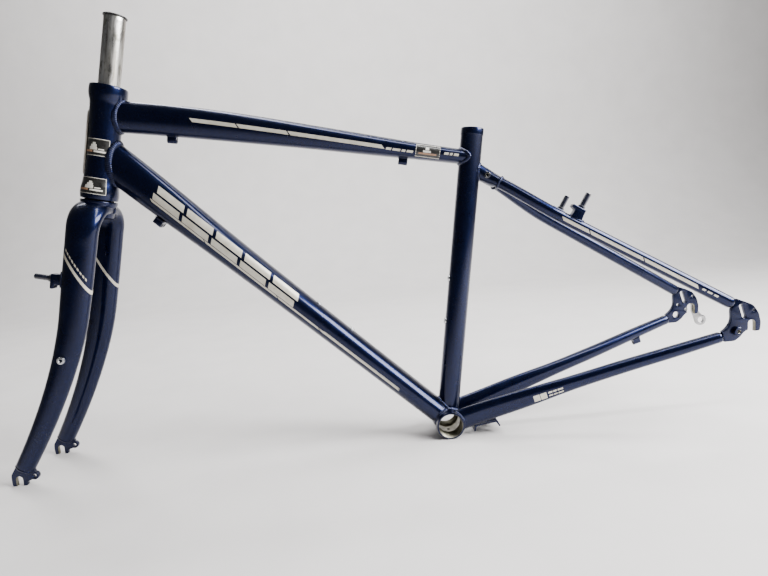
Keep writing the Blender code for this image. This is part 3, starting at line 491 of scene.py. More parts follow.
class Shader:
    """A Principled material with short calls for its nodes."""

    def __init__(self, name, colour, metallic, roughness):
        self.material = bpy.data.materials.new(name)
        self.material.use_nodes = True
        self.nodes = self.material.node_tree.nodes
        self.links = self.material.node_tree.links
        self.surface = self.nodes["Principled BSDF"]
        self.set("Base Color", (*colour, 1.0))
        self.set("Metallic", metallic)
        self.set("Roughness", roughness)
        self.place = self.add("ShaderNodeTexCoord").outputs["Object"]

    def set(self, name, value):
        """Set a socket of the shader itself, or link something to it."""
        self.fill(self.surface.inputs[name], value)

    def fill(self, socket, value):
        """Put a value in a socket, or link an output to it."""
        if isinstance(value, bpy.types.NodeSocket):
            self.links.new(value, socket)
        else:
            socket.default_value = value

    def add(self, kind, inputs=(), **settings):
        """New node with its settings and its inputs as (name, value) pairs."""
        node = self.nodes.new(kind)
        for name, value in settings.items():
            setattr(node, name, value)
        for name, value in inputs:
            self.fill(node.inputs[name], value)
        return node

    def noise(self, scale, detail=3.0, stretch=(1.0, 1.0, 1.0), lean=0.0):
        """Noise value, stretched along the object's axes, or along an axis that leans to the rear."""
        turned = [("Vector", self.place), ("Angle", -lean)]
        upright = self.add("ShaderNodeVectorRotate", turned, rotation_type='Y_AXIS').outputs[0]
        moved = self.add("ShaderNodeMapping", [("Vector", upright), ("Scale", stretch)])
        inputs = [("Vector", moved.outputs[0]), ("Scale", scale), ("Detail", detail)]
        return self.add("ShaderNodeTexNoise", inputs).outputs["Fac"]

    def span(self, value, low, high, to_low=0.0, to_high=1.0):
        """Value mapped from one range to another, held at the ends."""
        inputs = [("Value", value), ("From Min", low), ("From Max", high),
                  ("To Min", to_low), ("To Max", to_high)]
        return self.add("ShaderNodeMapRange", inputs).outputs[0]

    def blend(self, amount, first, second):
        """Colour between two others."""
        mix = self.add("ShaderNodeMix", data_type='RGBA')
        self.fill(mix.inputs[0], amount)
        for socket, value in ((mix.inputs[6], first), (mix.inputs[7], second)):
            self.fill(socket, value if isinstance(value, bpy.types.NodeSocket) else (*value, 1.0))
        return mix.outputs[2]

    def times(self, first, second):
        """Product of two values."""
        node = self.add("ShaderNodeMath", operation='MULTIPLY')
        self.fill(node.inputs[0], first)
        self.fill(node.inputs[1], second)
        return node.outputs[0]

    def bump(self, *layers):
        """Bump from layers of (height, strength, distance)."""
        normal = None
        for height, strength, distance in layers:
            inputs = [("Height", height), ("Strength", strength), ("Distance", distance)]
            node = self.add("ShaderNodeBump", inputs)
            if normal:
                self.fill(node.inputs["Normal"], normal)
            normal = node.outputs[0]
        self.set("Normal", normal)


def navy_paint():
    """Clear-coated metallic navy with flake, orange peel, fine scratches and dust."""
    s = Shader("navy_metallic", (0.003, 0.008, 0.040), 0.90, 0.24)
    flake = s.span(s.noise(2600.0, 1.0), 0.42, 0.70)
    cloud = s.span(s.noise(14.0, 4.0), 0.35, 0.70)
    body = s.blend(flake, (0.0006, 0.0013, 0.0075), (0.0052, 0.0160, 0.0900))
    body = s.blend(s.times(cloud, 0.30), body, (0.0018, 0.0042, 0.0240))
    dust = s.times(s.span(s.noise(900.0, 2.0), 0.64, 0.74), s.span(s.noise(35.0, 4.0), 0.45, 0.70, 0.0, 0.5))
    s.set("Base Color", s.blend(dust, body, (0.16, 0.16, 0.17)))
    scratch = s.span(s.noise(170.0, 5.0, (1.0, 6.0, 0.25)), 0.60, 0.66)
    rough = s.span(s.noise(60.0, 4.0), 0.30, 0.72, 0.26, 0.36)
    s.set("Roughness", rough)
    s.set("Coat Weight", 0.40)
    s.set("Coat Roughness", s.span(scratch, 0.0, 1.0, 0.06, 0.16))
    s.bump((s.noise(320.0, 2.0), 0.05, 0.0004), (scratch, 0.06, 0.0001))
    return s.material


def black_paint():
    """Glossy blue-black paint with a fine grain."""
    s = Shader("gloss_black", (0.005, 0.006, 0.014), 0.0, 0.28)
    patches = s.span(s.noise(70.0, 5.0), 0.35, 0.70)
    body = s.blend(patches, (0.0030, 0.0040, 0.0110), (0.0085, 0.0100, 0.0260))
    s.set("Base Color", body)
    s.set("Roughness", s.span(patches, 0.0, 1.0, 0.20, 0.36))
    s.set("Coat Weight", 0.9)
    s.bump((s.noise(700.0, 2.0), 0.12, 0.0003), (s.noise(90.0, 3.0), 0.05, 0.0005))
    return s.material


def bare_steel():
    """Steerer steel: long streaks and greyish green stains."""
    s = Shader("bare_steel", (0.52, 0.50, 0.47), 1.0, 0.30)
    lean = math.pi / 2 - HEAD_ANGLE - NOSE_DOWN
    streak = s.noise(420.0, 6.0, (1.0, 1.0, 0.035), lean)
    broad = s.span(s.noise(75.0, 3.0, (1.0, 1.0, 0.09), lean), 0.38, 0.62)
    spots = s.span(s.noise(210.0, 6.0, (1.0, 1.0, 0.45), lean), 0.54, 0.70)
    body = s.blend(broad, (0.26, 0.235, 0.20), (0.70, 0.69, 0.66))
    body = s.blend(s.span(streak, 0.35, 0.65, 0.0, 0.55), body, (0.80, 0.80, 0.78))
    body = s.blend(s.times(spots, 0.75), body, (0.17, 0.17, 0.125))
    s.set("Base Color", body)
    s.set("Roughness", s.span(s.noise(150.0, 5.0, (1.0, 1.0, 0.2), lean), 0.3, 0.7, 0.20, 0.46))
    s.bump((streak, 0.18, 0.0003), (spots, 0.25, 0.0001))
    return s.material


def machined(name, colour, grease_and_shade, rough):
    """Bare machined metal with turning marks and patches of dark greasy staining; at a high amount the
    staining also stands in as painted shade.
    """
    s = Shader(name, colour, 1.0, rough)
    stain_and_shade = s.span(s.noise(55.0, 6.0), 0.47, 0.66)
    fine = s.noise(900.0, 3.0, (1.0, 0.2, 1.0))
    body = s.blend(s.span(fine, 0.3, 0.7, 0.0, 0.4), colour, tuple(0.70 * c for c in colour))
    # Dark greenish blend: greasy staining, and at a high amount also painted shade
    s.set("Base Color", s.blend(s.times(stain_and_shade, grease_and_shade), body, (0.085, 0.080, 0.038)))
    s.set("Roughness", s.span(s.noise(130.0, 4.0), 0.3, 0.7, rough - 0.08, rough + 0.14))
    s.bump((fine, 0.12, 0.0002), (stain_and_shade, 0.10, 0.0002))
    return s.material


def decal_silver():
    """Silver-beige printed film, slightly uneven, with worn specks."""
    s = Shader("decal_silver", (0.60, 0.56, 0.46), 0.35, 0.34)
    speck = s.span(s.noise(750.0, 4.0), 0.66, 0.72)
    tone = s.blend(s.span(s.noise(90.0, 3.0), 0.3, 0.7), (0.58, 0.54, 0.44), (0.70, 0.67, 0.58))
    s.set("Base Color", s.blend(s.times(speck, 0.6), tone, (0.06, 0.07, 0.12)))
    s.set("Roughness", s.span(s.noise(120.0, 3.0), 0.3, 0.7, 0.28, 0.42))
    s.set("Coat Weight", 0.6)
    s.bump((s.noise(400.0, 2.0), 0.05, 0.0003))
    return s.material


def plain_finish(name, low, high, metallic, rough, grain, coat=0.0):
    """Simple finish between two tones, with a fine grain."""
    s = Shader(name, low, metallic, rough)
    s.set("Base Color", s.blend(s.span(s.noise(grain / 6.0, 5.0), 0.35, 0.68), low, high))
    s.set("Roughness", s.span(s.noise(grain / 3.0, 4.0), 0.3, 0.7, rough - 0.06, rough + 0.10))
    s.set("Coat Weight", coat)
    s.bump((s.noise(grain, 3.0), 0.15, 0.0002))
    return s.material


NAVY = navy_paint()
BLACK = black_paint()
STEEL = bare_steel()
# Dark bare aluminium with heavy staining: partly real greasy dirt, partly painted shade in the bores,
# threads and slot walls it covers
BARE_AND_SHADE = machined("bare_aluminium_and_painted_shade", (0.24, 0.23, 0.185), 0.95, 0.40)
SATIN = machined("satin_aluminium", (0.40, 0.40, 0.41), 0.35, 0.30)
TRIM = machined("silver_trim", (0.70, 0.71, 0.74), 0.20, 0.26)
DECAL = decal_silver()
STICKER = plain_finish("sticker_black", (0.006, 0.006, 0.006), (0.014, 0.013, 0.012), 0.0, 0.30, 500.0, 0.5)
INK = plain_finish("sticker_ink", (0.58, 0.55, 0.49), (0.74, 0.72, 0.66), 0.0, 0.42, 500.0, 0.3)
WARM_INK = plain_finish("sticker_warm_ink", (0.30, 0.15, 0.08), (0.45, 0.26, 0.15), 0.0, 0.42, 500.0, 0.3)
# Black rubber of the bearing seals; the same black on the crown race is painted shade
SEAL_AND_SHADE = plain_finish("seal_rubber_and_painted_shade", (0.012, 0.012, 0.013), (0.028, 0.027, 0.026), 0.0, 0.60, 600.0)
PLASTIC = plain_finish("moulded_black", (0.010, 0.010, 0.011), (0.018, 0.018, 0.019), 0.0, 0.46, 900.0)
BADGE = plain_finish("badge_metal", (0.42, 0.39, 0.34), (0.60, 0.57, 0.50), 0.35, 0.32, 600.0, 0.4)


def painted(name, mesh, *nodes, body="frame", bare=()):
    """Piece in navy paint that stands for the given nodes, with any bare material after the paint."""
    return piece(name, mesh, body, "navy_paint", NAVY, *bare, replaces=nodes)


def weld(name, build, body="frame"):
    """Piece for a set of beads under the navy paint."""
    painted(name, build.mesh(name), body=body)


def bare_within(obj, origin, axis, radius):
    """Second material on the faces of a piece that lie within a radius of an axis."""
    paint_where(obj.data, 1, lambda p: radius_from(p, origin, axis) < radius)


# ---------------------------------------------------------------------------- tubes

def top_tube_centre(u):
    """Centre line of the top tube, slightly bowed upwards."""
    start = steer_point(0.5196)
    end = BB + 0.3925 * SEAT_UP
    u = np.asarray(u, float)[..., None]
    return start * (1.0 - u) + end * u + 0.030 * u * (1.0 - u) ** 2 * UP


DOWN_START = steer_point(0.4677)
DOWN_LENGTH = float(np.linalg.norm(BB - DOWN_START))
DOWN_ALONG = (BB - DOWN_START) / DOWN_LENGTH
DOWN_NORMAL = np.cross(DOWN_ALONG, SIDE)
TOP_TUBE = Tube(top_tube_centre, smooth((0.0, 0.25, 0.5, 1.0), (0.0145, 0.0155, 0.0160, 0.0152)),
                smooth((0.0, 0.12, 0.25, 0.60, 0.95, 1.0), (0.0219, 0.0217, 0.0212, 0.0160, 0.0108, 0.0105)),
                SIDE, 2.15)
DOWN_TUBE = Tube(lambda u: DOWN_START + np.asarray(u, float)[..., None] * DOWN_LENGTH * DOWN_ALONG,
                 smooth((0.0, 0.30, 0.65, 1.0), (0.0155, 0.0205, 0.0229, 0.0250)),
                 smooth((0.0, 0.09, 0.18, 0.30, 0.41, 0.53, 0.76, 1.0),
                        (0.0262, 0.0257, 0.0246, 0.0222, 0.0206, 0.0194, 0.0180, 0.0167)), SIDE, 2.15)


def hollow(tube, start, end, wall, rows, sides):
    """Closed wall of a tube between two ends that may differ round the section."""
    a = angles(sides)
    w = np.linspace(0.0, 1.0, rows)[:, None]
    outer = tube.point(start * (1.0 - w) + end * w, a)
    w = w[::-1]
    inner = tube.point(start * (1.0 - w) + end * w, a, -wall)
    return Builder().grid(np.vstack((outer, inner)), loop=True)


def domed(tube, start, end, dome, wall, rows, sides):
    """Tube with a rounded end; dome is the length of the rounding in the tube's own measure."""
    a = angles(sides)
    w = np.linspace(0.0, 1.0, rows)[:, None]
    body = tube.point(start * (1.0 - w) + (end - dome) * w, a)
    turn = np.linspace(0.0, math.pi / 2, 10)[1:, None]
    size = min(float(tube.across(np.array(end))), float(tube.other(np.array(end))))
    place = end - dome + dome * np.sin(turn) + 0.0 * a
    cap = tube.point(place, a + 0.0 * turn, -size * (1.0 - np.cos(turn)))
    w = w[::-1]
    inner = tube.point(start * (1.0 - w) + (end - 1.4 * dome) * w, a, -wall)
    return Builder().grid(np.vstack((body, cap[:-1], tube.centre(np.full((1, sides), end)),
                                     tube.centre(np.full((1, sides), end - 1.4 * dome)), inner)), loop=True)


def joint_bead(build, tube, u, a, origin, axis, size=0.0040):
    """Bead round the joint of a tube with another whose axis is given."""
    line = tube.point(u, a)
    section = tube.centre(u)
    reach = line - origin
    other = unit(reach - (reach @ axis)[:, None] * axis)
    return bead(build, line, unit(unit(line - section) + other), size, 0.0026, True, 0.60)


def build_top_tube():
    """Top tube with a bead at each end."""
    a = angles(72)
    start = TOP_TUBE.meets(STEER_FOOT, STEER_UP, HEAD_WAIST - SINK, 0.0, 0.2, a)
    end = TOP_TUBE.meets(BB, SEAT_UP, SEAT_TUBE_RADIUS - SINK, 1.0, 0.85, a)
    mesh = hollow(TOP_TUBE, start, end, TUBE_WALL, 110, 72).mesh("top_tube_skin")
    painted("top_tube_skin", mesh, "top_tube")
    start = TOP_TUBE.meets(STEER_FOOT, STEER_UP, HEAD_WAIST, 0.0, 0.2, a)
    end = TOP_TUBE.meets(BB, SEAT_UP, SEAT_TUBE_RADIUS, 1.0, 0.85, a)
    build = joint_bead(Builder(), TOP_TUBE, start, a, STEER_FOOT, STEER_UP)
    joint_bead(build, TOP_TUBE, end, a, BB, SEAT_UP, 0.0032)
    weld("top_tube_welds", build)


def build_down_tube():
    """Down tube with a bead at the head tube and at the shell."""
    a = angles(80)

    def ends(sink):
        head = DOWN_TUBE.meets(STEER_FOOT, STEER_UP, HEAD_WAIST - sink, 0.0, 0.2, a)
        shell = DOWN_TUBE.meets(BB, SIDE, BB_RADIUS - sink, 1.0, 0.9, a)
        seat = DOWN_TUBE.meets(BB, SEAT_UP, SEAT_TUBE_RADIUS - sink, 1.0, 0.85, a)
        return head, np.minimum(shell, seat), seat < shell
    start, end, _ = ends(SINK)
    mesh = hollow(DOWN_TUBE, start, end, TUBE_WALL, 100, 80).mesh("down_tube_skin")
    painted("down_tube_skin", mesh, "down_tube")
    start, end, at_seat = ends(0.0)
    build = joint_bead(Builder(), DOWN_TUBE, start, a, STEER_FOOT, STEER_UP, 0.0048)
    line = DOWN_TUBE.point(end, a)
    reach = line - BB
    from_seat = reach - (reach @ SEAT_UP)[:, None] * SEAT_UP
    other = np.where(at_seat[:, None], from_seat, reach * (1.0, 0.0, 1.0))
    bead(build, line, unit(unit(line - DOWN_TUBE.centre(end)) + unit(other)), 0.0038, 0.0026, True, 0.60)
    weld("down_tube_welds", build)


def seat_tube_skin():
    """Painted seat tube with a collar land at the top and a bare bore."""
    top = SEAT_TUBE_LENGTH
    r = SEAT_TUBE_RADIUS
    tube = Tube(lambda u: BB + np.asarray(u, float)[..., None] * SEAT_UP, lambda u: r + 0.0 * u,
                lambda u: r + 0.0 * u, SIDE)
    a = angles(64)
    foot = tube.meets(BB, SIDE, BB_RADIUS - SINK, 0.0, 0.05, a)
    outer = [(0.04, r), (0.12, r), (0.22, r), (0.32, r), (top - 0.0105, r), (top - 0.0098, r + 0.0003),
             (top - 0.009, r + 0.0005), (top - 0.0008, r + 0.0005), (top - 0.0003, r + 0.0003),
             (top, r - 0.0001),
             (top, SEATPOST_RADIUS + 0.0004), (top - 0.0004, SEATPOST_RADIUS),
             (top - 0.06, SEATPOST_RADIUS), (top - 0.120, SEATPOST_RADIUS),
             (top - 0.122, SEAT_TUBE_BORE), (0.04, SEAT_TUBE_BORE)]
    rows = [tube.point(foot, a)] + [tube.point(np.full(64, u), a, size - r) for u, size in outer]
    rows.append(tube.point(foot, a, SEAT_TUBE_BORE - r))
    mesh = Builder().grid(np.array(rows), loop=True).mesh("seat_tube_skin")
    return tube, foot, mesh


def build_seat_tube():
    """Seat tube with its clamp slot and the bead at its foot."""
    tube, foot, mesh = seat_tube_skin()
    obj = painted("seat_tube_skin", mesh, "seat_tube", bare=[BARE_AND_SHADE])
    end = BB + (SEAT_TUBE_LENGTH - 0.030) * SEAT_UP + SEAT_TUBE_RADIUS * SEAT_REAR
    slot = box_tool(placed(end + 0.0175 * SEAT_UP, SEAT_REAR, SIDE), (0.010, 0.003, 0.035))
    carve(obj, slot, cylinder_tool(end, SEAT_REAR, 0.003, 0.010))
    bare_within(obj, BB, SEAT_UP, SEAT_TUBE_RADIUS - 0.0012)
    a = angles(64)
    build = Builder()
    line = tube.point(tube.meets(BB, SIDE, BB_RADIUS, 0.0, 0.05, a), a)
    reach = unit((line - BB) * (1.0, 0.0, 1.0))
    bead(build, line, unit(unit(line - tube.centre(foot)) + reach), 0.0034, 0.0025, True, 0.60)
    weld("seat_tube_weld", build)


HEAD_SHAPE = smooth((0.403, 0.407, 0.414, 0.420, 0.427, 0.435, 0.529, 0.5365, 0.5425, 0.547, 0.553, 0.559),
                    (0.0243, 0.0249, 0.0249, 0.0243, 0.0229, 0.0222, 0.0222,
                     0.0226, 0.0240, 0.0248, 0.0250, 0.0246))


def build_head_tube():
    """Head tube: a waist between two thick rings, with bearing seats."""
    t = np.linspace(HEAD_BOTTOM + 0.0008, HEAD_TOP - 0.0008, 70)
    low = HEAD_BOTTOM
    high = HEAD_TOP
    outer = [(0.0236, low)] + [(float(HEAD_SHAPE(v)), float(v)) for v in t] + [(0.0240, high)]
    inner = [(0.0224, high), (0.0220, high - 0.0004), (0.0220, high - 0.009), (0.0176, high - 0.009),
             (0.0176, low + 0.009), (0.0220, low + 0.009), (0.0220, low + 0.0004), (0.0224, low)]
    turned_piece("head_tube_skin", outer + inner, STEER_FOOT, STEER_UP, "frame", "navy_paint", NAVY,
                 ["head_tube"], 96)


def badge_height(across, up):
    """Height of the badge's face: a raised rim and a field of plain rays."""
    reach = np.hypot(across, up)
    rays = 0.00022 * np.cos(9.0 * np.arctan2(up, across)) * np.clip((reach - 0.15) / 0.25, 0.0, 1.0)
    boss = 0.0004 * np.clip(1.0 - reach / 0.22, 0.0, 1.0) ** 0.5
    return 0.0009 + np.where(reach < 0.80, rays, 0.0) + boss


def build_badge():
    """Long rounded badge on the front of the head tube."""
    x, y = squared(angles(80), 2.0 / 2.6)
    rows = []
    for scale in (0.0, 0.12, 0.2, 0.3, 0.42, 0.55, 0.68, 0.78, 0.83, 0.87, 0.94, 0.98, 1.0):
        rim = 0.00055 * math.exp(-((scale - 0.91) / 0.06) ** 4)
        edge = 0.0009 if scale > 0.99 else 0.0
        rows.append((scale, badge_height(scale * x, scale * y) + rim - edge))
    rows += [(1.0, np.full(80, -0.0001)), (0.0, np.full(80, -0.0001))]
    grid = []
    for scale, height in rows:
        radius = HEAD_WAIST + GAP + height
        a = scale * x * math.radians(38.0)
        t = 0.4795 + scale * y * 0.0465
        grid.append(steer_point(t, -radius * np.cos(a), radius * np.sin(a)))
    mesh = Builder().grid(np.array(grid)).mesh("head_badge_plate", 50.0)
    piece("head_badge_plate", mesh, "frame", "silver_trim", BADGE, replaces=["head_badge"])


def build_shell():
    """Bottom bracket shell: painted outside, bare faces and cut thread inside."""
    half = 0.034
    outer = [(0.0181, -half), (0.0198, -half), (0.0203, -half + 0.0003), (BB_RADIUS, -half + 0.0010)]
    outer += [(r, -y) for r, y in outer[::-1]]
    pitch = 0.00106
    thread = []
    for i in range(22):
        y = half - 0.0008 - i * pitch
        thread += [(BB_BORE, y), (BB_BORE + 0.00045, y - pitch / 2)]
    inner = thread + [(BB_BORE + 0.0006, 0.0095), (BB_BORE + 0.0006, -0.0095)]
    inner += [(r, -y) for r, y in thread[::-1]]
    mesh = turned(Builder(), outer + inner, BB, SIDE, 96).mesh("shell_skin")
    obj = painted("shell_skin", mesh, "bottom_bracket_shell", bare=[BARE_AND_SHADE])
    carve(obj, cylinder_tool(BB - BB_RADIUS * UP, UP, 0.0025, 0.012))
    bare_within(obj, BB, SIDE, 0.01835)


# ---------------------------------------------------------------------------- rear triangle

CHAIN_TARGET = REAR_AXLE + np.array((CHAIN_STAY_END[0], 0.0, CHAIN_STAY_END[1])) - BB
CHAIN_REACH = float(np.linalg.norm(CHAIN_TARGET))
CHAIN_ALONG = CHAIN_TARGET / CHAIN_REACH
STAY_DROP = direction(-SEAT_STAY_SLOPE)
YOKE_ALONG = direction(-math.radians(33.9))
YOKE_START = BB + 0.3803 * SEAT_UP
YOKE_LENGTH = 0.0485


def chain_stay(side):
    """Chain stay: deep at the shell, bent round the wheel, round at the dropout."""
    y = smooth((0.0, 0.040, 0.075, 0.110, 0.180, 0.260, 0.350, CHAIN_REACH),
               (0.0232, 0.0243, 0.0275, 0.0315, 0.0380, 0.0475, 0.0620, STAY_END_Y))
    width = smooth((0.0, 0.110, 0.260, CHAIN_REACH), (0.0082, 0.0076, 0.0083, 0.0075))
    height = smooth((0.0, 0.060, 0.110, 0.145, 0.180, 0.260, 0.350, CHAIN_REACH),
                    (0.0158, 0.0150, 0.0140, 0.0127, 0.0110, 0.0096, 0.0085, 0.0075))

    def centre(d):
        d = np.asarray(d, float)
        return BB + d[..., None] * CHAIN_ALONG + side * y(d)[..., None] * SIDE
    return Tube(centre, width, height, SIDE, 2.1)


def build_chain_stay(name, side):
    """One chain stay with its bead at the shell and its rounded end at the dropout."""
    tube = chain_stay(side)
    a = angles(48)

    def start(sink):
        shell = tube.meets(BB, SIDE, BB_RADIUS - sink, 0.0, 0.05, a)
        seat = tube.meets(BB, SEAT_UP, SEAT_TUBE_RADIUS - sink, 0.0, 0.05, a)
        return np.maximum(shell, seat)
    mesh = domed(tube, start(SINK), CHAIN_REACH + 0.0015, 0.006, STAY_WALL, 90, 48).mesh(name + "_skin")
    painted(name + "_skin", mesh, name)
    line = tube.point(start(0.0), a)
    other = unit((line - BB) * (1.0, 0.0, 1.0))
    build = bead(Builder(), line, unit(unit(line - tube.centre(start(0.0))) + other), 0.0024)
    weld(name + "_welds", build)


def seat_stay_brake(side):
    """Centre of the seat stay at its brake boss."""
    level = REAR_AXLE + np.array((SEAT_STAY_END[0], 0.0, SEAT_STAY_END[1]))
    return level - STAY_BRAKE_REACH * STAY_DROP + side * STAY_BRAKE_Y * SIDE


def seat_stay(side):
    """Seat stay: a bend out from the yoke, then straight to the dropout."""
    end = REAR_AXLE + np.array((SEAT_STAY_END[0], side * STAY_END_Y, SEAT_STAY_END[1]))
    straight = unit(end - seat_stay_brake(side))
    first = YOKE_START + (YOKE_LENGTH - 0.004) * YOKE_ALONG + side * 0.0096 * SIDE
    knee = seat_stay_brake(side) - 0.012 * straight
    out = unit(YOKE_ALONG + side * 0.35 * SIDE)
    t = np.linspace(0.0, 1.0, 14)[:, None]
    bend = ((1 - t) ** 3 * first + 3 * (1 - t) ** 2 * t * (first + 0.038 * out)
            + 3 * (1 - t) * t * t * (knee - 0.036 * straight) + t ** 3 * knee)
    rest = np.linspace(0.0, 1.0, 7)[1:, None]
    line = np.vstack((bend, knee * (1.0 - rest) + end * rest))
    travel = travelled(line)
    size = lambda u: SEAT_STAY_RADIUS + 0.0 * np.asarray(u, float)
    return Tube(smooth(travel, line), size, size, SIDE), float(travel[-1])


def build_seat_stay(name, side):
    """One seat stay with its beads."""
    tube, length = seat_stay(side)
    a = angles(40)
    mesh = domed(tube, np.zeros(40), length + 0.0018, 0.007, STAY_WALL, 90, 40).mesh(name + "_skin")
    painted(name + "_skin", mesh, name)
    line = tube.point(np.full(40, 0.0048), a, 0.0002)
    build = bead(Builder(), line, unit(line - tube.centre(np.full(40, 0.0048)) + 0.004 * YOKE_ALONG), 0.0021)
    weld(name + "_welds", build)


def build_yoke():
    """Yoke behind the seat tube, with its bead and the two rack bosses."""
    keys = (0.0, 0.012, 0.022, 0.034, 0.042, YOKE_LENGTH)
    tube = Tube(lambda d: YOKE_START + np.asarray(d, float)[..., None] * YOKE_ALONG,
                smooth(keys, (0.0110, 0.0110, 0.0117, 0.0142, 0.0170, 0.0184)),
                smooth(keys, (0.0110, 0.0110, 0.0108, 0.0102, 0.0097, 0.0093)), SIDE, 2.2)
    a = angles(56)
    start = tube.meets(BB, SEAT_UP, SEAT_TUBE_RADIUS - SINK, 0.004, 0.03, a)
    mesh = domed(tube, start, YOKE_LENGTH, 0.0050, TUBE_WALL, 30, 56).mesh("yoke_skin")
    painted("yoke_skin", mesh, "seat_stay_yoke")
    start = tube.meets(BB, SEAT_UP, SEAT_TUBE_RADIUS, 0.004, 0.03, a)
    build = joint_bead(Builder(), tube, start, a, BB, SEAT_UP, 0.0022)
    weld("yoke_weld", build)
    foot = YOKE_START + 0.027 * YOKE_ALONG
    profile = [(THREAD_BORE, 0.0105), (0.0047, 0.0105), (0.0047, 0.0158), (0.0044, 0.0163), (0.0040, 0.0165),
               (0.0026, 0.0165), (THREAD_BORE, 0.0160)]
    for name, side in SIDES:
        build = turned(Builder(), profile, foot, side * SIDE, 40)
        obj = piece("rack_boss_" + name + "_turned", build.mesh("rack_boss_" + name), "frame", "black_paint",
                    BLACK, BARE_AND_SHADE, replaces=["rack_boss_" + name])
        bare_within(obj, foot, SIDE, 0.0024)


def dropout_outline(slot):
    """Rear dropout about the axle, with a slot of the given half width open downwards."""
    seat_across = np.array((math.sin(SEAT_STAY_SLOPE), math.cos(SEAT_STAY_SLOPE))) * SEAT_STAY_RADIUS
    chain_across = np.array((-math.sin(STAY_SLOPE), math.cos(STAY_SLOPE))) * 0.0075
    seat_end = np.array(SEAT_STAY_END)
    chain_end = np.array(CHAIN_STAY_END)
    right = rounded([seat_end + seat_across, (-0.0080, 0.0310), (0.0030, 0.0255), (0.0105, 0.0140),
                     (0.0135, 0.0010), (0.0125, -0.0095), (0.0110, -0.0115), (slot, -0.0115)],
                    0.0035, 6, False)
    left = rounded([(-slot, -0.0090), (-0.0100, -0.0110), (-0.0160, -0.0180), (-0.0240, -0.0235),
                    chain_end - chain_across], 0.0030, 6, False)
    inner = rounded([chain_end + chain_across, (-0.0355, -0.0045), (-0.0305, 0.0020), (-0.0285, 0.0090),
                     (-0.0290, 0.0160), seat_end - seat_across], 0.0040, 6, False)
    return right + arc(0.0, 0.0, slot, 0.0, 180.0, 21)[1:-1] + left + inner


def dropout_window():
    """Long oval window in the upper arm."""
    upper = np.array((-0.0150, 0.0255))
    lower = np.array((-0.0105, 0.0105))
    lean = math.degrees(math.atan2(*(upper - lower)[::-1]))
    return (arc(*upper, 0.0028, lean - 90.0, lean + 90.0, 14)
            + arc(*lower, 0.0028, lean + 90.0, lean + 270.0, 14))


def side_matrix(centre, y):
    """Plate in the XZ plane at a given side offset."""
    return placed(np.array((centre[0], y, centre[2])), RIGHT, UP)


def build_dropouts():
    """Both rear dropouts and the left one's threaded stub."""
    small = circle(0.0035, 0.0185, 0.0020, 24)
    holes = {-1.0: [dropout_window(), small, circle(-0.0220, -0.0090, 0.0021, 24)],
             1.0: [dropout_window(), small, circle(-0.0250, -0.0105, 0.0050),
                   circle(-0.0215, 0.0060, 0.0022, 24), circle(*HANGER_BOLT, 0.0023, 24)]}
    for name, side, slot in (("left", -1.0, 0.0050), ("right", 1.0, 0.0064)):
        mesh = plate_mesh("dropout_" + name + "_plate", dropout_outline(slot), holes[side], PLATE,
                          side_matrix(REAR_AXLE, side * (REAR_HUB_HALF + PLATE / 2)), 0.0007)
        obj = piece("dropout_" + name + "_plate", mesh, "frame", "black_paint", NAVY, BARE_AND_SHADE,
                    replaces=["dropout_" + name])
        paint_where(obj.data, 1, lambda p, slot=slot: in_slot(p - REAR_AXLE, slot))
    stub = REAR_AXLE + np.array((-0.0220, 0.0, -0.0090))
    profile = [(THREAD_BORE, SIDE_FACE - 0.0012), (0.0060, SIDE_FACE - 0.0012), (0.0060, RIM - 0.0006),
               (0.0054, RIM), (0.0027, RIM), (THREAD_BORE, RIM - 0.0006)]
    obj = turned_piece("eyelet_left_stub", profile, stub, -SIDE, "frame", "black_paint", NAVY,
                       ["eyelet_left"])
    obj.data.materials.append(BARE_AND_SHADE)
    bare_within(obj, stub, SIDE, 0.0025)


def in_slot(reach, radius):
    """Whether a place lies on the wall of an axle slot."""
    if reach[2] > 0.0:
        return math.hypot(reach[0], reach[2]) < radius + 0.0004
    return abs(reach[0]) < radius + 0.0004 and reach[2] > -0.013


def hanger_outline():
    """Replaceable hanger: a hook over the slot, a neck and a lobe."""
    slot = 0.0052
    hook = arc(0.0005, 0.0, 0.0120, 180.0, 30.0, 22)
    neck = rounded([hook[-1], (0.0135, 0.0005), (0.0160, -0.0070), (0.0205, -0.0140),
                    arc(*HANGER_EYE, 0.0093, 65.0, 60.0, 2)[0]], 0.0030, 6, False)[1:-1]
    lobe = arc(*HANGER_EYE, 0.0093, 65.0, -175.0, 30)
    inner = rounded([lobe[-1], (0.0080, -0.0150), (slot, -0.0080), (slot, 0.0)], 0.0025, 6, False)[1:-1]
    foot = rounded([(-slot, 0.0), (-slot, -0.0070), (-0.0115, -0.0070), hook[0]], 0.0012, 5, False)[1:-1]
    return hook + neck + lobe + inner + arc(0.0, 0.0, slot, 0.0, 180.0, 21) + foot


def build_hanger():
    """Derailleur hanger and the bolt that holds it."""
    face = SIDE_FACE + GAP
    holes = [circle(*HANGER_EYE, 0.0046), circle(*HANGER_BOLT, 0.0023, 24)]
    mesh = plate_mesh("hanger_plate", hanger_outline(), holes, 0.004, side_matrix(REAR_AXLE, face + 0.002))
    piece("hanger_plate", mesh, "frame", "satin_aluminium", SATIN, replaces=["derailleur_hanger"])
    under = face + 0.0043
    centre = REAR_AXLE + np.array((HANGER_BOLT[0], 0.0, HANGER_BOLT[1]))
    profile = [(CORE, RIM), (0.0024, RIM), (0.0030, RIM - 0.0002), (0.0036, under + 0.0005), (0.0036, under),
               (0.0020, under), (0.0020, 0.0678), (0.0016, 0.0674), (CORE, 0.0674)]
    bolt = turned_piece("hanger_bolt_turned", profile, centre, SIDE, "frame", "silver_trim", TRIM,
                        ["hanger_bolt"], 40)
    carve(bolt, cylinder_tool(centre + RIM * SIDE, SIDE, 0.0016, 0.0030, 6))


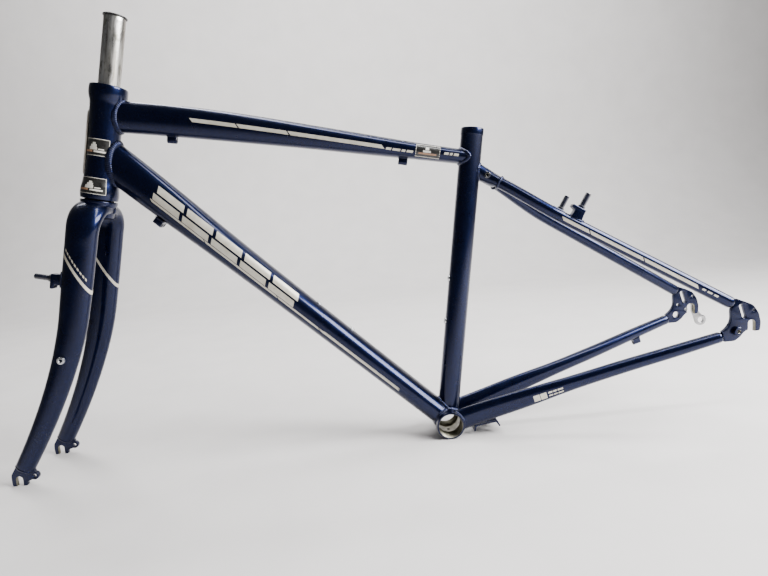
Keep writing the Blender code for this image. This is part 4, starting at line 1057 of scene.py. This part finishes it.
def build_kickstand_plate():
    """Pressed plate under the chain stays with splayed lips and a bolt hole."""
    level = direction(NOSE_DOWN)
    up = np.cross(level, SIDE)
    front, rear, top, under, tip = 0.0365, 0.0710, -0.0109, -0.0133, -0.0205
    outline = rounded([(front, top), (rear, top), (rear + 0.0032, tip), (rear + 0.0008, tip - 0.0003),
                       (rear - 0.0024, under), (front + 0.0024, under), (front - 0.0008, tip - 0.0003),
                       (front - 0.0032, tip)], 0.0016, 5)
    mesh = plate_mesh("kickstand_pressing", outline, [], 0.048, placed(BB, level, up), 0.0004)
    obj = piece("kickstand_pressing", mesh, "frame", "black_paint", NAVY, replaces=["kickstand_plate"])
    centre = BB + (front + rear) / 2.0 * level + top * up
    carve(obj, cylinder_tool(centre, up, 0.0052, 0.020))


# ---------------------------------------------------------------------------- fittings

def build_brake_mount(names, body, side, foot, along, outward, top, stem):
    """Brake boss with its spring holes, and the pivot post."""
    centre = foot + side * BRAKE_Y * SIDE
    outline = rounded([(-0.0085, stem), (0.0085, stem), (0.0070, top - 0.006), (0.0070, top),
                       (-0.0137, top), (-0.0137, top - 0.0045), (-0.0075, top - 0.0060)], 0.0014, 5)
    mesh = plate_mesh(names[0] + "_forged", outline, [], 0.012, placed(centre, along, outward), 0.0012)
    boss = piece(names[0] + "_forged", mesh, body, "black_paint", NAVY, replaces=[names[0]])
    ear = centre + (-0.0103) * along
    across = np.cross(along, outward)
    carve(boss, *(cylinder_tool(ear + z * across + top * outward, outward, 0.0011, 0.012, 16)
                  for z in (-0.0034, 0.0, 0.0034)))
    seat = top - 0.0004
    end = top + GAP + 0.0225
    profile = [(CORE, end - 0.012), (0.0024, end - 0.011), (0.0024, end - 0.0006), (0.0029, end),
               (0.0035, end), (0.0040, end - 0.0006), (0.0040, seat + 0.0040), (0.0044, seat + 0.0036),
               (0.0053, seat + 0.0034), (0.0053, seat), (CORE, seat)]
    post = turned_piece(names[1] + "_turned", profile, centre, outward, body, "black_paint", BLACK,
                        [names[1]], 40)
    post.data.materials.append(STEEL)
    bare_within(post, centre, outward, 0.0026)


def saddle_bead(name, body, tube, u0, u1, a0, a1, size):
    """Bead round the foot of a fitting on a tube, between two places along it and two angles."""
    x, y = squared(angles(40), 0.6)
    u = (u0 + u1) / 2 + (u1 - u0) / 2 * x
    a = (a0 + a1) / 2 + (a1 - a0) / 2 * y
    line = tube.point(u, a, 0.0002)
    build = bead(Builder(), line, unit(line - tube.centre(u)), size, 0.0020)
    weld(name, build, body)


def build_rear_brakes():
    """Brake mounts on the seat stays."""
    outward = direction(math.pi / 2.0 - SEAT_STAY_SLOPE)
    for name, side in SIDES:
        foot = seat_stay_brake(side) - side * STAY_BRAKE_Y * SIDE
        build_brake_mount(("rear_brake_boss_" + name, "rear_brake_post_" + name), "frame", side, foot,
                          STAY_DROP, outward, 0.0225, 0.0040)
        tube, length = seat_stay(side)
        place = length - STAY_BRAKE_REACH
        saddle_bead("rear_brake_weld_" + name, "frame", tube, place - 0.0095, place + 0.0095,
                    math.pi / 2 - 0.82, math.pi / 2 + 0.82, 0.0017)


def build_cable_stop(name, point, outward, length, centres):
    """Rounded lug with stepped cable holes."""
    spread = max(centres)
    corner = 0.0042
    depth = 0.0095
    outline = [(spread + corner, -0.0008), (-spread - corner, -0.0008)]
    outline += arc(-spread, depth - corner, corner, 180.0, 90.0, 12)
    outline += arc(spread, depth - corner, corner, 90.0, 0.0, 12)
    holes = [circle(c, depth - corner, 0.0026, 28) for c in centres]
    along = np.cross(SIDE, outward)
    mesh = plate_mesh(name + "_lug", outline, holes, length, placed(point, SIDE, outward), 0.0006)
    obj = piece(name + "_lug", mesh, "frame", "black_paint", NAVY, BLACK, replaces=[name])
    paint_where(obj.data, 1, lambda p: inside_hole(p - point, outward, along, centres, depth - corner))
    build = Builder()
    for c in centres:
        heart = point + c * SIDE + (depth - corner) * outward
        turned(build, ring(0.0011, 0.0027, -length * 0.30, length * 0.16, 0.0002), heart, along, 28)
    piece(name + "_stop", build.mesh(name + "_stop"), "frame", "black_paint", BLACK)
    feet = Builder()
    for edge in (-1.0, 1.0):
        x = edge * (spread + corner + 0.0002)
        line = [point + x * SIDE + (0.0002 - 0.0006) * outward + w * along
                for w in np.linspace(-length / 2, length / 2, 12)]
        bead(feet, line, np.tile(outward + edge * 0.8 * SIDE, (12, 1)), 0.0014, 0.0019, closed=False)
    weld(name + "_weld", feet)


def inside_hole(reach, outward, along, centres, height):
    """Whether a place lies on the wall of a cable hole."""
    off = [math.hypot(reach @ SIDE - c, reach @ outward - height) for c in centres]
    return min(off) < 0.0028


def surface_line(tube, u, side):
    """Point on the upper (1) or lower (-1) line of a tube."""
    return tube.point(np.array(u), np.array(side * math.pi / 2))


def build_cable_stops():
    """Stops under the top tube, the down tube and the right chain stay."""
    for name, u in (("front", 0.179), ("rear", 0.814)):
        along = TOP_TUBE.axes(np.array(u))[0]
        outward = np.cross(SIDE, along)
        build_cable_stop("cable_stop_top_" + name, surface_line(TOP_TUBE, u, -1.0), outward, 0.013, (0.0,))
    build_cable_stop("cable_stop_down", surface_line(DOWN_TUBE, 0.186, -1.0), -DOWN_NORMAL, 0.013,
                     (-0.0048, 0.0048))
    stay = chain_stay(1.0)
    outward = np.cross(SIDE, CHAIN_ALONG)
    build_cable_stop("cable_stop_chain_stay", surface_line(stay, 0.3365, -1.0), outward, 0.012, (0.0,))


def build_bosses():
    """Threaded inserts for bottle cages."""
    profile = [(THREAD_BORE, -0.0080), (0.0044, -0.0080), (0.0044, -0.0004), (0.0052, -0.0004),
               (0.0052, 0.0006), (0.0049, 0.0011), (0.0043, 0.0014), (0.0030, 0.0014),
               (0.0025, 0.0011), (THREAD_BORE, 0.0003)]
    places = [("down_upper", surface_line(DOWN_TUBE, 0.583, 1.0), DOWN_NORMAL),
              ("down_lower", surface_line(DOWN_TUBE, 0.682, 1.0), DOWN_NORMAL)]
    for name, height in (("seat_lower", 0.151), ("seat_upper", 0.215)):
        places.append((name, BB + height * SEAT_UP - SEAT_TUBE_RADIUS * SEAT_REAR, -SEAT_REAR))
    for name, point, outward in places:
        turned_piece("bottle_boss_" + name + "_insert", profile, point + GAP * outward, outward, "frame",
                     "silver_trim", TRIM, ["bottle_boss_" + name], 40)


# ---------------------------------------------------------------------------- headset and steerer

def build_headset():
    """Bearings with rubber seals, the crown race and the compression ring."""
    for name, low in (("lower_bearing", HEAD_BOTTOM + 0.0005), ("upper_bearing", HEAD_TOP - 0.0085)):
        build = Builder()
        for bore, radius in ((0.0206, 0.0217), (0.0176, 0.0187)):
            turned(build, ring(bore, radius, low, low + 0.008, 0.0003), STEER_FOOT, STEER_UP, 80)
        build.mark = 1
        cover = [(r, low + rise) for r, rise in
                 ((0.0186, 0.0006), (0.0207, 0.0006), (0.0207, 0.0074), (0.0200, 0.0077),
                  (0.0196, 0.0072), (0.0192, 0.0072), (0.0190, 0.0077), (0.0186, 0.0074))]
        turned(build, cover, STEER_FOOT, STEER_UP, 80)
        piece(name + "_sealed", build.mesh(name), "frame", "bare_steel", STEEL, SEAL_AND_SHADE, replaces=[name])
    fit = STEERER_RADIUS + 0.0002
    race = [(fit, HEAD_BOTTOM - 0.0058), (0.0210, HEAD_BOTTOM - 0.0058), (0.0214, HEAD_BOTTOM - 0.0054),
            (0.0212, HEAD_BOTTOM - 0.003), (0.0173, HEAD_BOTTOM + 0.0005), (0.0170, HEAD_BOTTOM + 0.004),
            (fit, HEAD_BOTTOM + 0.004)]
    # The steel crown race takes the black seal rubber: painted shade for the dark band between head tube and
    # crown
    turned_piece("crown_race_turned", race, STEER_FOOT, STEER_UP, "fork", "bare_steel", SEAL_AND_SHADE,
                 ["crown_race"], 80)
    cone = [(fit, HEAD_TOP - 0.007), (0.0160, HEAD_TOP - 0.007), (0.0173, HEAD_TOP - 0.0012),
            (0.0173, HEAD_TOP - 0.0008), (fit, HEAD_TOP - 0.0008)]
    turned_piece("compression_ring_turned", cone, STEER_FOOT, STEER_UP, "fork", "bare_steel", SEAL_AND_SHADE,
                 ["compression_ring"], 80)


def build_steerer():
    """Steerer tube with a rolled edge, and the plug in its top."""
    r = STEERER_RADIUS
    top = STEERER_TOP
    profile = [(STEERER_BORE, CROWN_FOOT + 0.0002), (r - 0.0003, CROWN_FOOT), (r, CROWN_FOOT + 0.0004)]
    profile += [(r, float(t)) for t in np.linspace(0.40, top - 0.006, 16)]
    profile += [(r, top - 0.0006), (r - 0.0002, top - 0.0002), (r - 0.0006, top),
                (STEERER_BORE + 0.0002, top), (STEERER_BORE, top - 0.0003)]
    turned_piece("steerer_skin", profile, STEER_FOOT, STEER_UP, "fork", "bare_steel", STEEL,
                 ["steerer_tube"], 80)
    seat = top + GAP
    face = seat + 0.0022
    skirt = STEERER_BORE - 0.0003
    profile = [(skirt - 0.0016, seat - 0.018), (skirt, seat - 0.018), (skirt, seat - 0.0001), (0.0150, seat),
               (0.0157, seat + 0.0003), (0.0158, seat + 0.0010), (0.0155, seat + 0.0018), (0.0147, face),
               (0.0118, face), (0.0114, face - 0.0005), (0.0070, face - 0.0006), (0.0066, face - 0.0001),
               (CORE, face - 0.0001), (CORE, seat), (skirt - 0.0016, seat)]
    obj = turned_piece("steerer_plug_moulded", profile, STEER_FOOT, STEER_UP, "plug", "black_plastic",
                       PLASTIC, ["steerer_plug"], 80)
    obj.data.set_sharp_from_angle(angle=math.radians(40.0))


# ---------------------------------------------------------------------------- fork

def blade(side):
    """Fork blade from the mid plane, round the shoulder and down to the tip."""
    shoulder = BLADE_BEND_T + BLADE_BEND_RADIUS
    points = [(shoulder, BLADE_SHIFT, y, 0.0236, 0.0112) for y in (0.0002, 0.0035)]
    for y, t in arc(BLADE_BEND_Y, BLADE_BEND_T, BLADE_BEND_RADIUS, 90.0, 0.0, 9):
        rise = (t - BLADE_BEND_T) / BLADE_BEND_RADIUS
        points.append((t, BLADE_SHIFT, y, 0.0216 + 0.0020 * rise, 0.0132 - 0.0020 * rise))
    depth = smooth((0.0, 0.057, 0.150, 0.222, 0.275, BLADE_BEND_T),
                   (0.0125, 0.0139, 0.0168, 0.0194, 0.0208, 0.0216))
    width = smooth((0.0, 0.150, FORK_BRAKE_T, BLADE_BEND_T), (0.0098, 0.0110, 0.0128, 0.0132))
    away = smooth((0.0, FORK_BRAKE_T, BLADE_BEND_T), (0.0535, 0.0405, 0.0390))
    for t in np.linspace(0.335, 0.0115, 27):
        sweep = 0.05 * (max(0.0, BLADE_CURVE_START - t) / BLADE_CURVE_START) ** 1.7
        points.append((t, BLADE_SHIFT - sweep, float(away(t)), float(depth(t)), float(width(t))))
    t, s, y, depth, width = np.array(points).T
    line = steer_point(t, s, side * y)
    travel = travelled(line)
    tube = Tube(smooth(travel, line), smooth(travel, depth), smooth(travel, width), STEER_BACK, 2.0)
    return tube, float(travel[-1]), smooth(-t[5:], travel[5:])


def build_blade(name, side):
    """One blade: hollow, cut round the crown sleeve, closed round the tip's tab."""
    tube, length, _ = blade(side)
    mesh = domed(tube, np.zeros(56), length, 0.0075, 0.0015, 130, 56).mesh(name + "_skin")
    obj = painted(name + "_skin", mesh, name, body="fork")
    carve(obj, cylinder_tool(steer_point(0.3860), STEER_UP, 0.0178, 0.060, 80))
    seam = length - 0.0050
    build = Builder()
    for part in tip_seam(tube, seam):
        bead(build, part, unit(part - tube.centre(np.full(len(part), seam))), 0.0017, 0.0019, False)
    weld(name + "_tip_weld", build, "fork")


def tip_seam(tube, u):
    """Lines of the two beads where the blade's end closes on the tip's tab."""
    lines = []
    for middle in (0.5 * math.pi, 1.5 * math.pi):
        a = middle + np.linspace(-1.1, 1.1, 22)
        lines.append(tube.point(np.full(22, u), a, -0.0010))
    return lines


def build_crown():
    """Crown sleeve with its painted collar and race seat, and the seams between the blades."""
    fit = STEERER_RADIUS + 0.0002
    profile = [(fit, CROWN_FOOT), (0.0200, CROWN_FOOT), (0.0208, 0.3789), (0.0212, 0.3800), (0.0218, 0.3860),
               (0.0228, 0.3920), (0.0238, 0.3965), (0.0243, 0.3990), (0.0244, 0.4004), (0.0240, 0.4011),
               (0.0226, 0.4013), (0.0217, 0.4006), (0.0217, 0.3969), (fit, 0.3969)]
    turned_piece("crown_skin", profile, STEER_FOOT, STEER_UP, "fork", "navy_paint", NAVY, ["fork_crown"], 80)
    tube = blade(1.0)[0]
    a = np.linspace(-1.35, 1.35, 60)
    build = Builder()
    for middle in (0.0, math.pi):
        line = tube.point(np.full(60, 0.0), middle + a, 0.0003) * (1.0, 0.0, 1.0)
        bead(build, line, unit(line - steer_point(0.388, BLADE_SHIFT)), 0.0022, 0.0022, False)
    weld("crown_seam", build, "fork")


def tip_outline():
    """Fork tip about the axle: slot open downwards, eyelet behind, tab into the blade."""
    slot = TIP_SLOT
    foot = -0.0095
    along = direction(math.radians(59.4))
    tab = [(up * along[0] - ahead * along[2], up * along[2] + ahead * along[0])
           for up, ahead in ((0.0260, 0.0112), (0.0345, 0.0078), (0.0345, -0.0074), (0.0250, -0.0098))]
    front = [(-0.0110, 0.0), (-0.0106, 0.0070)]
    eyelet = arc(*TIP_EYELET, 0.0058, 75.0, -120.0, 24)
    body = rounded([(-slot, foot), (-0.0105, foot)] + front + tab + [eyelet[0]], 0.0022, 6, False)[:-1]
    heel = rounded([eyelet[-1], (0.0105, -0.0040), (0.0098, foot), (slot, foot)], 0.0016, 5, False)[1:]
    return body + eyelet + heel + arc(0.0, 0.0, slot, 0.0, 180.0, 21)


def build_tips():
    """Fork tips with bare slot walls."""
    middle = FRONT_HUB_HALF + PLATE / 2.0
    for name, side in SIDES:
        mesh = plate_mesh("fork_tip_" + name + "_plate", tip_outline(), [circle(*TIP_EYELET, 0.0026, 28)],
                          PLATE, side_matrix(FRONT_AXLE, side * middle), 0.0007)
        obj = piece("fork_tip_" + name + "_plate", mesh, "fork", "black_paint", NAVY, BARE_AND_SHADE,
                    replaces=["fork_tip_" + name])
        paint_where(obj.data, 1, lambda p: in_slot(p - FRONT_AXLE, TIP_SLOT))


def build_fork_fittings():
    """Brake mounts and rack bosses on the blades."""
    profile = [(THREAD_BORE, -0.0040), (0.0045, -0.0040), (0.0050, -0.0004), (0.0052, 0.0030),
               (0.0049, 0.0036), (0.0045, 0.0038), (0.0029, 0.0038), (0.0024, 0.0034), (THREAD_BORE, 0.0026)]
    for name, side in SIDES:
        tube, _, at = blade(side)
        build_brake_mount(("front_brake_boss_" + name, "front_brake_post_" + name), "fork", side,
                          steer_point(FORK_BRAKE_T), STEER_UP, -STEER_BACK, 0.0350, 0.0165)
        place = float(at(-FORK_BRAKE_T))
        saddle_bead("front_brake_weld_" + name, "fork", tube, place - 0.0098, place + 0.0098,
                    math.pi - 0.5, math.pi + 0.5, 0.0018)
        place = float(at(-FORK_BOSS_T))
        surface = tube.point(np.array(place), np.array(side * -math.pi / 2))
        turned_piece("fork_rack_boss_" + name + "_insert", profile, surface, side * SIDE, "fork",
                     "silver_trim", TRIM, ["fork_rack_boss_" + name], 40)


# ---------------------------------------------------------------------------- decals

def side_angle(tube, u, v, side):
    """Angle on a lengthwise tube at a height v above its side line."""
    height = tube.other(u)
    lift = np.arcsin(np.clip(v / height, -0.98, 0.98))
    return np.where(side > 0, lift, math.pi - lift)


FILM = 0.00012
STICKER_FILM = 0.00010
STICKER_INK = 0.00022
FILM_ROOT = -0.0004


def film(build, tube, u, a, proud=FILM):
    """Slab of printed film on a tube, rooted just under its surface."""
    build.slab(tube.point(u, a, proud), tube.point(u, a, FILM_ROOT))


def printed(build, tube, scale, span, rise, slant=0.0, side=-1.0, proud=FILM, cells=(0.004, 5)):
    """Thin printed patch on a tube's side: lengths along it in metres, heights above the side line."""
    columns = max(2, int((span[1] - span[0]) / cells[0]) + 2)
    s = np.linspace(span[0], span[1], columns)[:, None]
    v = np.linspace(rise[0], rise[1], cells[1])[None, :]
    u = (s + slant * (v - rise[0])) / scale
    v = v + 0.0 * s
    a = side_angle(tube, u, v, side)
    film(build, tube, u, a, proud)
    return build


def stripe_along(build, tube, scale, stops, low, high, gaps, side):
    """Long stripe whose edges follow two smooth heights, broken by slanted gaps."""
    marks = [stops[0]] + [edge for gap in gaps for edge in (gap - 0.0011, gap + 0.0011)] + [stops[1]]
    for start, end in zip(marks[::2], marks[1::2]):
        columns = max(3, int((end - start) / 0.006) + 2)
        w = np.linspace(0.0, 1.0, columns)[:, None]
        h = np.linspace(0.0, 1.0, 4)[None, :]
        lean = 0.0045 * (0.5 - h)
        s = start + (end - start) * w + lean
        v = low(s) * (1.0 - h) + high(s) * h
        u = s / scale
        a = side_angle(tube, u, v, side)
        film(build, tube, u, a)


def decal_piece(name, build, body, *materials):
    """Object for a set of printed patches."""
    piece(name, build.mesh(name), body, "silver_trim", *materials)


def build_top_tube_print_and_highlight():
    """Stripe, marks and sticker on both sides of the top tube, and a pale bar on its top line that is a
    painted highlight.
    """
    scale = float(np.linalg.norm(top_tube_centre(1.0) - top_tube_centre(0.0)))
    build = Builder()
    for side in (-1.0, 1.0):
        line = smooth((0.235 * scale, 0.50 * scale, 0.754 * scale), (0.0015, -0.0004, -0.0018))
        low = lambda s, line=line: line(s) - 0.0022
        high = lambda s, line=line: line(s) + 0.0022
        first = 0.235 * scale
        last = 0.754 * scale
        gaps = [first + 0.238 * (last - first), first + 0.503 * (last - first)]
        stripe_along(build, TOP_TUBE, scale, (first, last), low, high, gaps, side)
        bars = [(start, end, -0.0046) for start, end in
                ((0.762, 0.776), (0.780, 0.801), (0.805, 0.815), (0.819, 0.836))]
        bars += [(start, end, -0.0016) for start, end in ((0.922, 0.934), (0.938, 0.945), (0.949, 0.962))]
        for start, end, foot in bars:
            printed(build, TOP_TUBE, scale, (start * scale, end * scale), (foot, foot + 0.0030), 0.3, side)
    # Pale silver film along the top line: a painted highlight where the top of the tube catches the light
    columns = np.linspace(0.066, 0.200, 30)[:, None]
    turn = math.pi / 2 + np.linspace(-0.36, 0.36, 7)[None, :]
    film(build, TOP_TUBE, columns, turn)
    decal_piece("top_tube_print_and_highlight", build, "frame", DECAL)
    for side in (-1.0, 1.0):
        name = "left" if side < 0 else "right"
        place = (0.844 * scale, 0.911 * scale)
        sticker_on_tube("top_tube_sticker_" + name, TOP_TUBE, scale, place, (-0.0082, 0.0082), side)


def sticker_on_tube(name, tube, scale, span, rise, side):
    """Black sticker with a thin pale border and a plain mark of hills."""
    build = printed(Builder(), tube, scale, span, rise, 0.0, side, STICKER_FILM, (0.0035, 11))
    build.mark = 1
    thin = 0.0006
    length = span[1] - span[0]
    height = rise[1] - rise[0]
    for inset_s, inset_v in (((0.0, length), (0.0, thin)), ((0.0, length), (height - thin, height)),
                             ((0.0, thin), (0.0, height)), ((length - thin, length), (0.0, height))):
        printed(build, tube, scale, (span[0] + inset_s[0], span[0] + inset_s[1]),
                (rise[0] + inset_v[0], rise[0] + inset_v[1]), 0.0, side, STICKER_INK, (0.004, 6))
    for low, high, left, right, mark in ((0.22, 0.34, 0.12, 0.86, 2), (0.38, 0.52, 0.30, 0.62, 1),
                                         (0.56, 0.78, 0.40, 0.54, 1)):
        build.mark = mark
        printed(build, tube, scale, (span[0] + left * length, span[0] + right * length),
                (rise[0] + low * height, rise[0] + high * height), 0.0, side, STICKER_INK, (0.004, 4))
    decal_piece(name, build, "frame", STICKER, INK, WARM_INK)


def head_patch(build, t, a, proud):
    """Patch on the head tube between heights and angles from the left side, positive to the rear."""
    heights = np.linspace(t[0], t[1], max(3, int((t[1] - t[0]) / 0.0012)))[:, None]
    turn = np.linspace(a[0], a[1], max(3, int((a[1] - a[0]) / 0.06)))[None, :]
    grids = []
    for lift in (proud, FILM_ROOT):
        radius = HEAD_SHAPE(heights) + lift + 0.0 * turn
        grids.append(steer_point(heights + 0.0 * turn, radius * np.sin(turn), -radius * np.cos(turn)))
    build.slab(*grids)


def build_head_stickers():
    """Two black stickers with pale borders on the left of the head tube."""
    build = Builder()
    for low, high, front, rear in ((0.4625, 0.4855, -1.20, 0.78), (0.4100, 0.4325, -1.05, 0.74)):
        build.mark = 0
        head_patch(build, (low, high), (front, rear), STICKER_FILM)
        build.mark = 1
        edge = 0.0006
        turn = edge / 0.0225
        head_patch(build, (low, low + edge), (front, rear), STICKER_INK)
        head_patch(build, (high - edge, high), (front, rear), STICKER_INK)
        head_patch(build, (low, high), (front, front + turn), STICKER_INK)
        head_patch(build, (low, high), (rear - turn, rear), STICKER_INK)
        width = rear - front
        height = high - low
        marks = ((0.20, 0.32, 0.08, 0.46, 2), (0.20, 0.30, 0.52, 0.90, 1), (0.34, 0.52, 0.34, 0.62, 1),
                 (0.52, 0.66, 0.40, 0.60, 1), (0.66, 0.78, 0.46, 0.56, 1), (0.36, 0.42, 0.66, 0.84, 1))
        for bottom, top, left, right, mark in marks:
            build.mark = mark
            head_patch(build, (low + bottom * height, low + top * height),
                       (front + left * width, front + right * width), STICKER_INK)
    decal_piece("head_tube_stickers", build, "frame", STICKER, INK, WARM_INK)


PRINT_START = 0.096
PRINT_PITCH = 0.0505
PRINT_BARS = 5


def build_down_tube_print():
    """Two rows of equal slanted bars and a thin broken line on both sides of the down tube."""
    build = Builder()
    low = smooth((0.0947, 0.30, 0.5396), (-0.0084, -0.0084, -0.0078))
    thin = smooth((0.40, 0.54), (-0.0055, -0.0048))
    for side in (-1.0, 1.0):
        for k in range(PRINT_BARS):
            start = PRINT_START + k * PRINT_PITCH
            span = (start, start + PRINT_PITCH - 0.0055)
            printed(build, DOWN_TUBE, DOWN_LENGTH, span, (0.0050, 0.0140), -0.55, side)
            printed(build, DOWN_TUBE, DOWN_LENGTH, span, (-0.0050, 0.0024), -0.55, side)
        stripe_along(build, DOWN_TUBE, DOWN_LENGTH, (0.0947, 0.5396), low, lambda s: low(s) + 0.0026,
                     (0.187, 0.316, 0.392), side)
        stripe_along(build, DOWN_TUBE, DOWN_LENGTH, (0.400, 0.5396), thin, lambda s: thin(s) + 0.0008,
                     (), side)
    decal_piece("down_tube_print", build, "frame", DECAL)


def build_stay_print():
    """Stripes on the seat stays and squares on the chain stays."""
    build = Builder()
    for side in (-1.0, 1.0):
        tube, length = seat_stay(side)
        first = length - 0.265
        last = length - 0.056
        stripe_along(build, tube, 1.0, (first, last), lambda s: 0.0 * s - 0.0041, lambda s: 0.0 * s + 0.0001,
                     (first + 0.042, first + 0.126), side)
        for start, end in ((0.006, 0.011), (0.014, 0.021), (0.024, 0.030)):
            printed(build, tube, 1.0, (last + start, last + end), (-0.0030, -0.0006), 0.3, side)
        stay = chain_stay(side)
        for start, end in ((0.128, 0.1372), (0.1382, 0.1474)):
            printed(build, stay, 1.0, (start, end), (-0.0075, 0.0015), 0.0, side)
        for start, end in ((0.150, 0.156), (0.1575, 0.1625), (0.164, 0.172)):
            printed(build, stay, 1.0, (start, end), (-0.0012, 0.0008), 0.3, side)
            printed(build, stay, 1.0, (start, end), (-0.0058, -0.0038), 0.3, side)
    decal_piece("stay_print", build, "frame", DECAL)


def build_blade_print():
    """Tilted band right round each blade with a row of small bars above it on the outer side."""
    build = Builder()
    for side in (-1.0, 1.0):
        tube, _, at = blade(side)
        a = np.linspace(0.003, 2.0 * math.pi - 0.003, 97)[:, None]
        w = np.linspace(-0.0027, 0.0027, 4)[None, :]
        u = at(-(0.302 - 0.0262 * np.cos(a))) + w
        a = a + 0.0 * w
        film(build, tube, u, a)
        for k in range(9):
            turn = -side * math.pi / 2 - 0.86 + 0.19 * k + np.array([[0.0], [0.12]])
            u = at(-(0.3125 - 0.0262 * np.cos(turn))) + np.array([[-0.0015, 0.0015]])
            turn = turn + 0.0 * u
            film(build, tube, u, turn)
    decal_piece("blade_print", build, "fork", DECAL)


# ---------------------------------------------------------------------------- stage

def paper(name, colour, rough):
    """Pale matt surface with a faint mottle."""
    s = Shader(name, colour, 0.0, rough)
    mottle = s.span(s.noise(9.0, 5.0), 0.3, 0.7)
    s.set("Base Color", s.blend(mottle, colour, tuple(0.94 * c for c in colour)))
    s.set("Roughness", s.span(s.noise(30.0, 4.0), 0.3, 0.7, rough - 0.05, rough + 0.05))
    return s.material


def build_stage():
    """Pale floor with a swept-up back, soft lights and the camera."""
    lines = [(-6.0, 0.0), (1.6, 0.0)] + [(1.6 + 0.9 * math.sin(a), 0.9 - 0.9 * math.cos(a))
                                         for a in np.linspace(0.05, math.pi / 2, 16)] + [(2.5, 5.5)]
    rows = np.array([[(x, y, z) for x in (-9.0, 9.0)] for y, z in lines])
    build = Builder().grid(rows, wrap=False)
    mesh = build.mesh("floor")
    mesh.materials.append(paper("pale_floor", (0.66, 0.64, 0.63), 0.75))
    link(bpy.data.objects.new("floor", mesh))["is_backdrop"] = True
    world = bpy.data.worlds.new("studio")
    bpy.context.scene.world = world
    world.use_nodes = True
    ambient = world.node_tree.nodes["Background"].inputs
    ambient["Color"].default_value = (0.78, 0.80, 0.84, 1.0)
    ambient["Strength"].default_value = 0.13
    add_light("key", (1.50, -0.45, 1.20), (0.0, 0.0, 0.30), (1.2, 0.9), 120.0)
    add_light("overhead", (0.05, 0.10, 1.75), (0.0, 0.05, 0.25), (2.8, 0.22), 38.0)
    add_light("wall_wash", (0.0, 1.0, 2.3), (0.0, 2.4, 0.8), (3.6, 0.4), 95.0)
    camera = bpy.data.cameras.new("camera")
    camera.lens = 25.288
    camera.sensor_width = 36.0
    view = link(bpy.data.objects.new("camera", camera))
    view.location = (-0.01851, -0.79465, 0.33015)
    view.rotation_euler = [math.radians(a) for a in (82.757, 4.596, -2.259)]
    bpy.context.scene.camera = view


def add_light(name, place, target, size, power):
    """Soft rectangular light that faces a target."""
    light = bpy.data.lights.new(name, 'AREA')
    light.shape = 'RECTANGLE'
    light.size, light.size_y = size
    light.energy = power
    obj = link(bpy.data.objects.new(name, light))
    obj.location = place
    obj.rotation_euler = (Vector(target) - Vector(place)).to_track_quat('-Z', 'Y').to_euler()


# ---------------------------------------------------------------------------- the whole

def build_all():
    """Every visible piece."""
    build_head_tube()
    build_badge()
    build_top_tube()
    build_down_tube()
    build_seat_tube()
    build_shell()
    for name, side in SIDES:
        build_chain_stay("chain_stay_" + name, side)
        build_seat_stay("seat_stay_" + name, side)
        build_blade("fork_blade_" + name, side)
    build_yoke()
    build_dropouts()
    build_hanger()
    build_kickstand_plate()
    build_rear_brakes()
    build_cable_stops()
    build_bosses()
    build_headset()
    build_steerer()
    build_crown()
    build_tips()
    build_fork_fittings()
    build_top_tube_print_and_highlight()
    build_head_stickers()
    build_down_tube_print()
    build_stay_print()
    build_blade_print()


build_all()
build_stage()
low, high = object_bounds()
{"cad": [list(cad_low), list(cad_high)], "visual": [list(low), list(high)]}
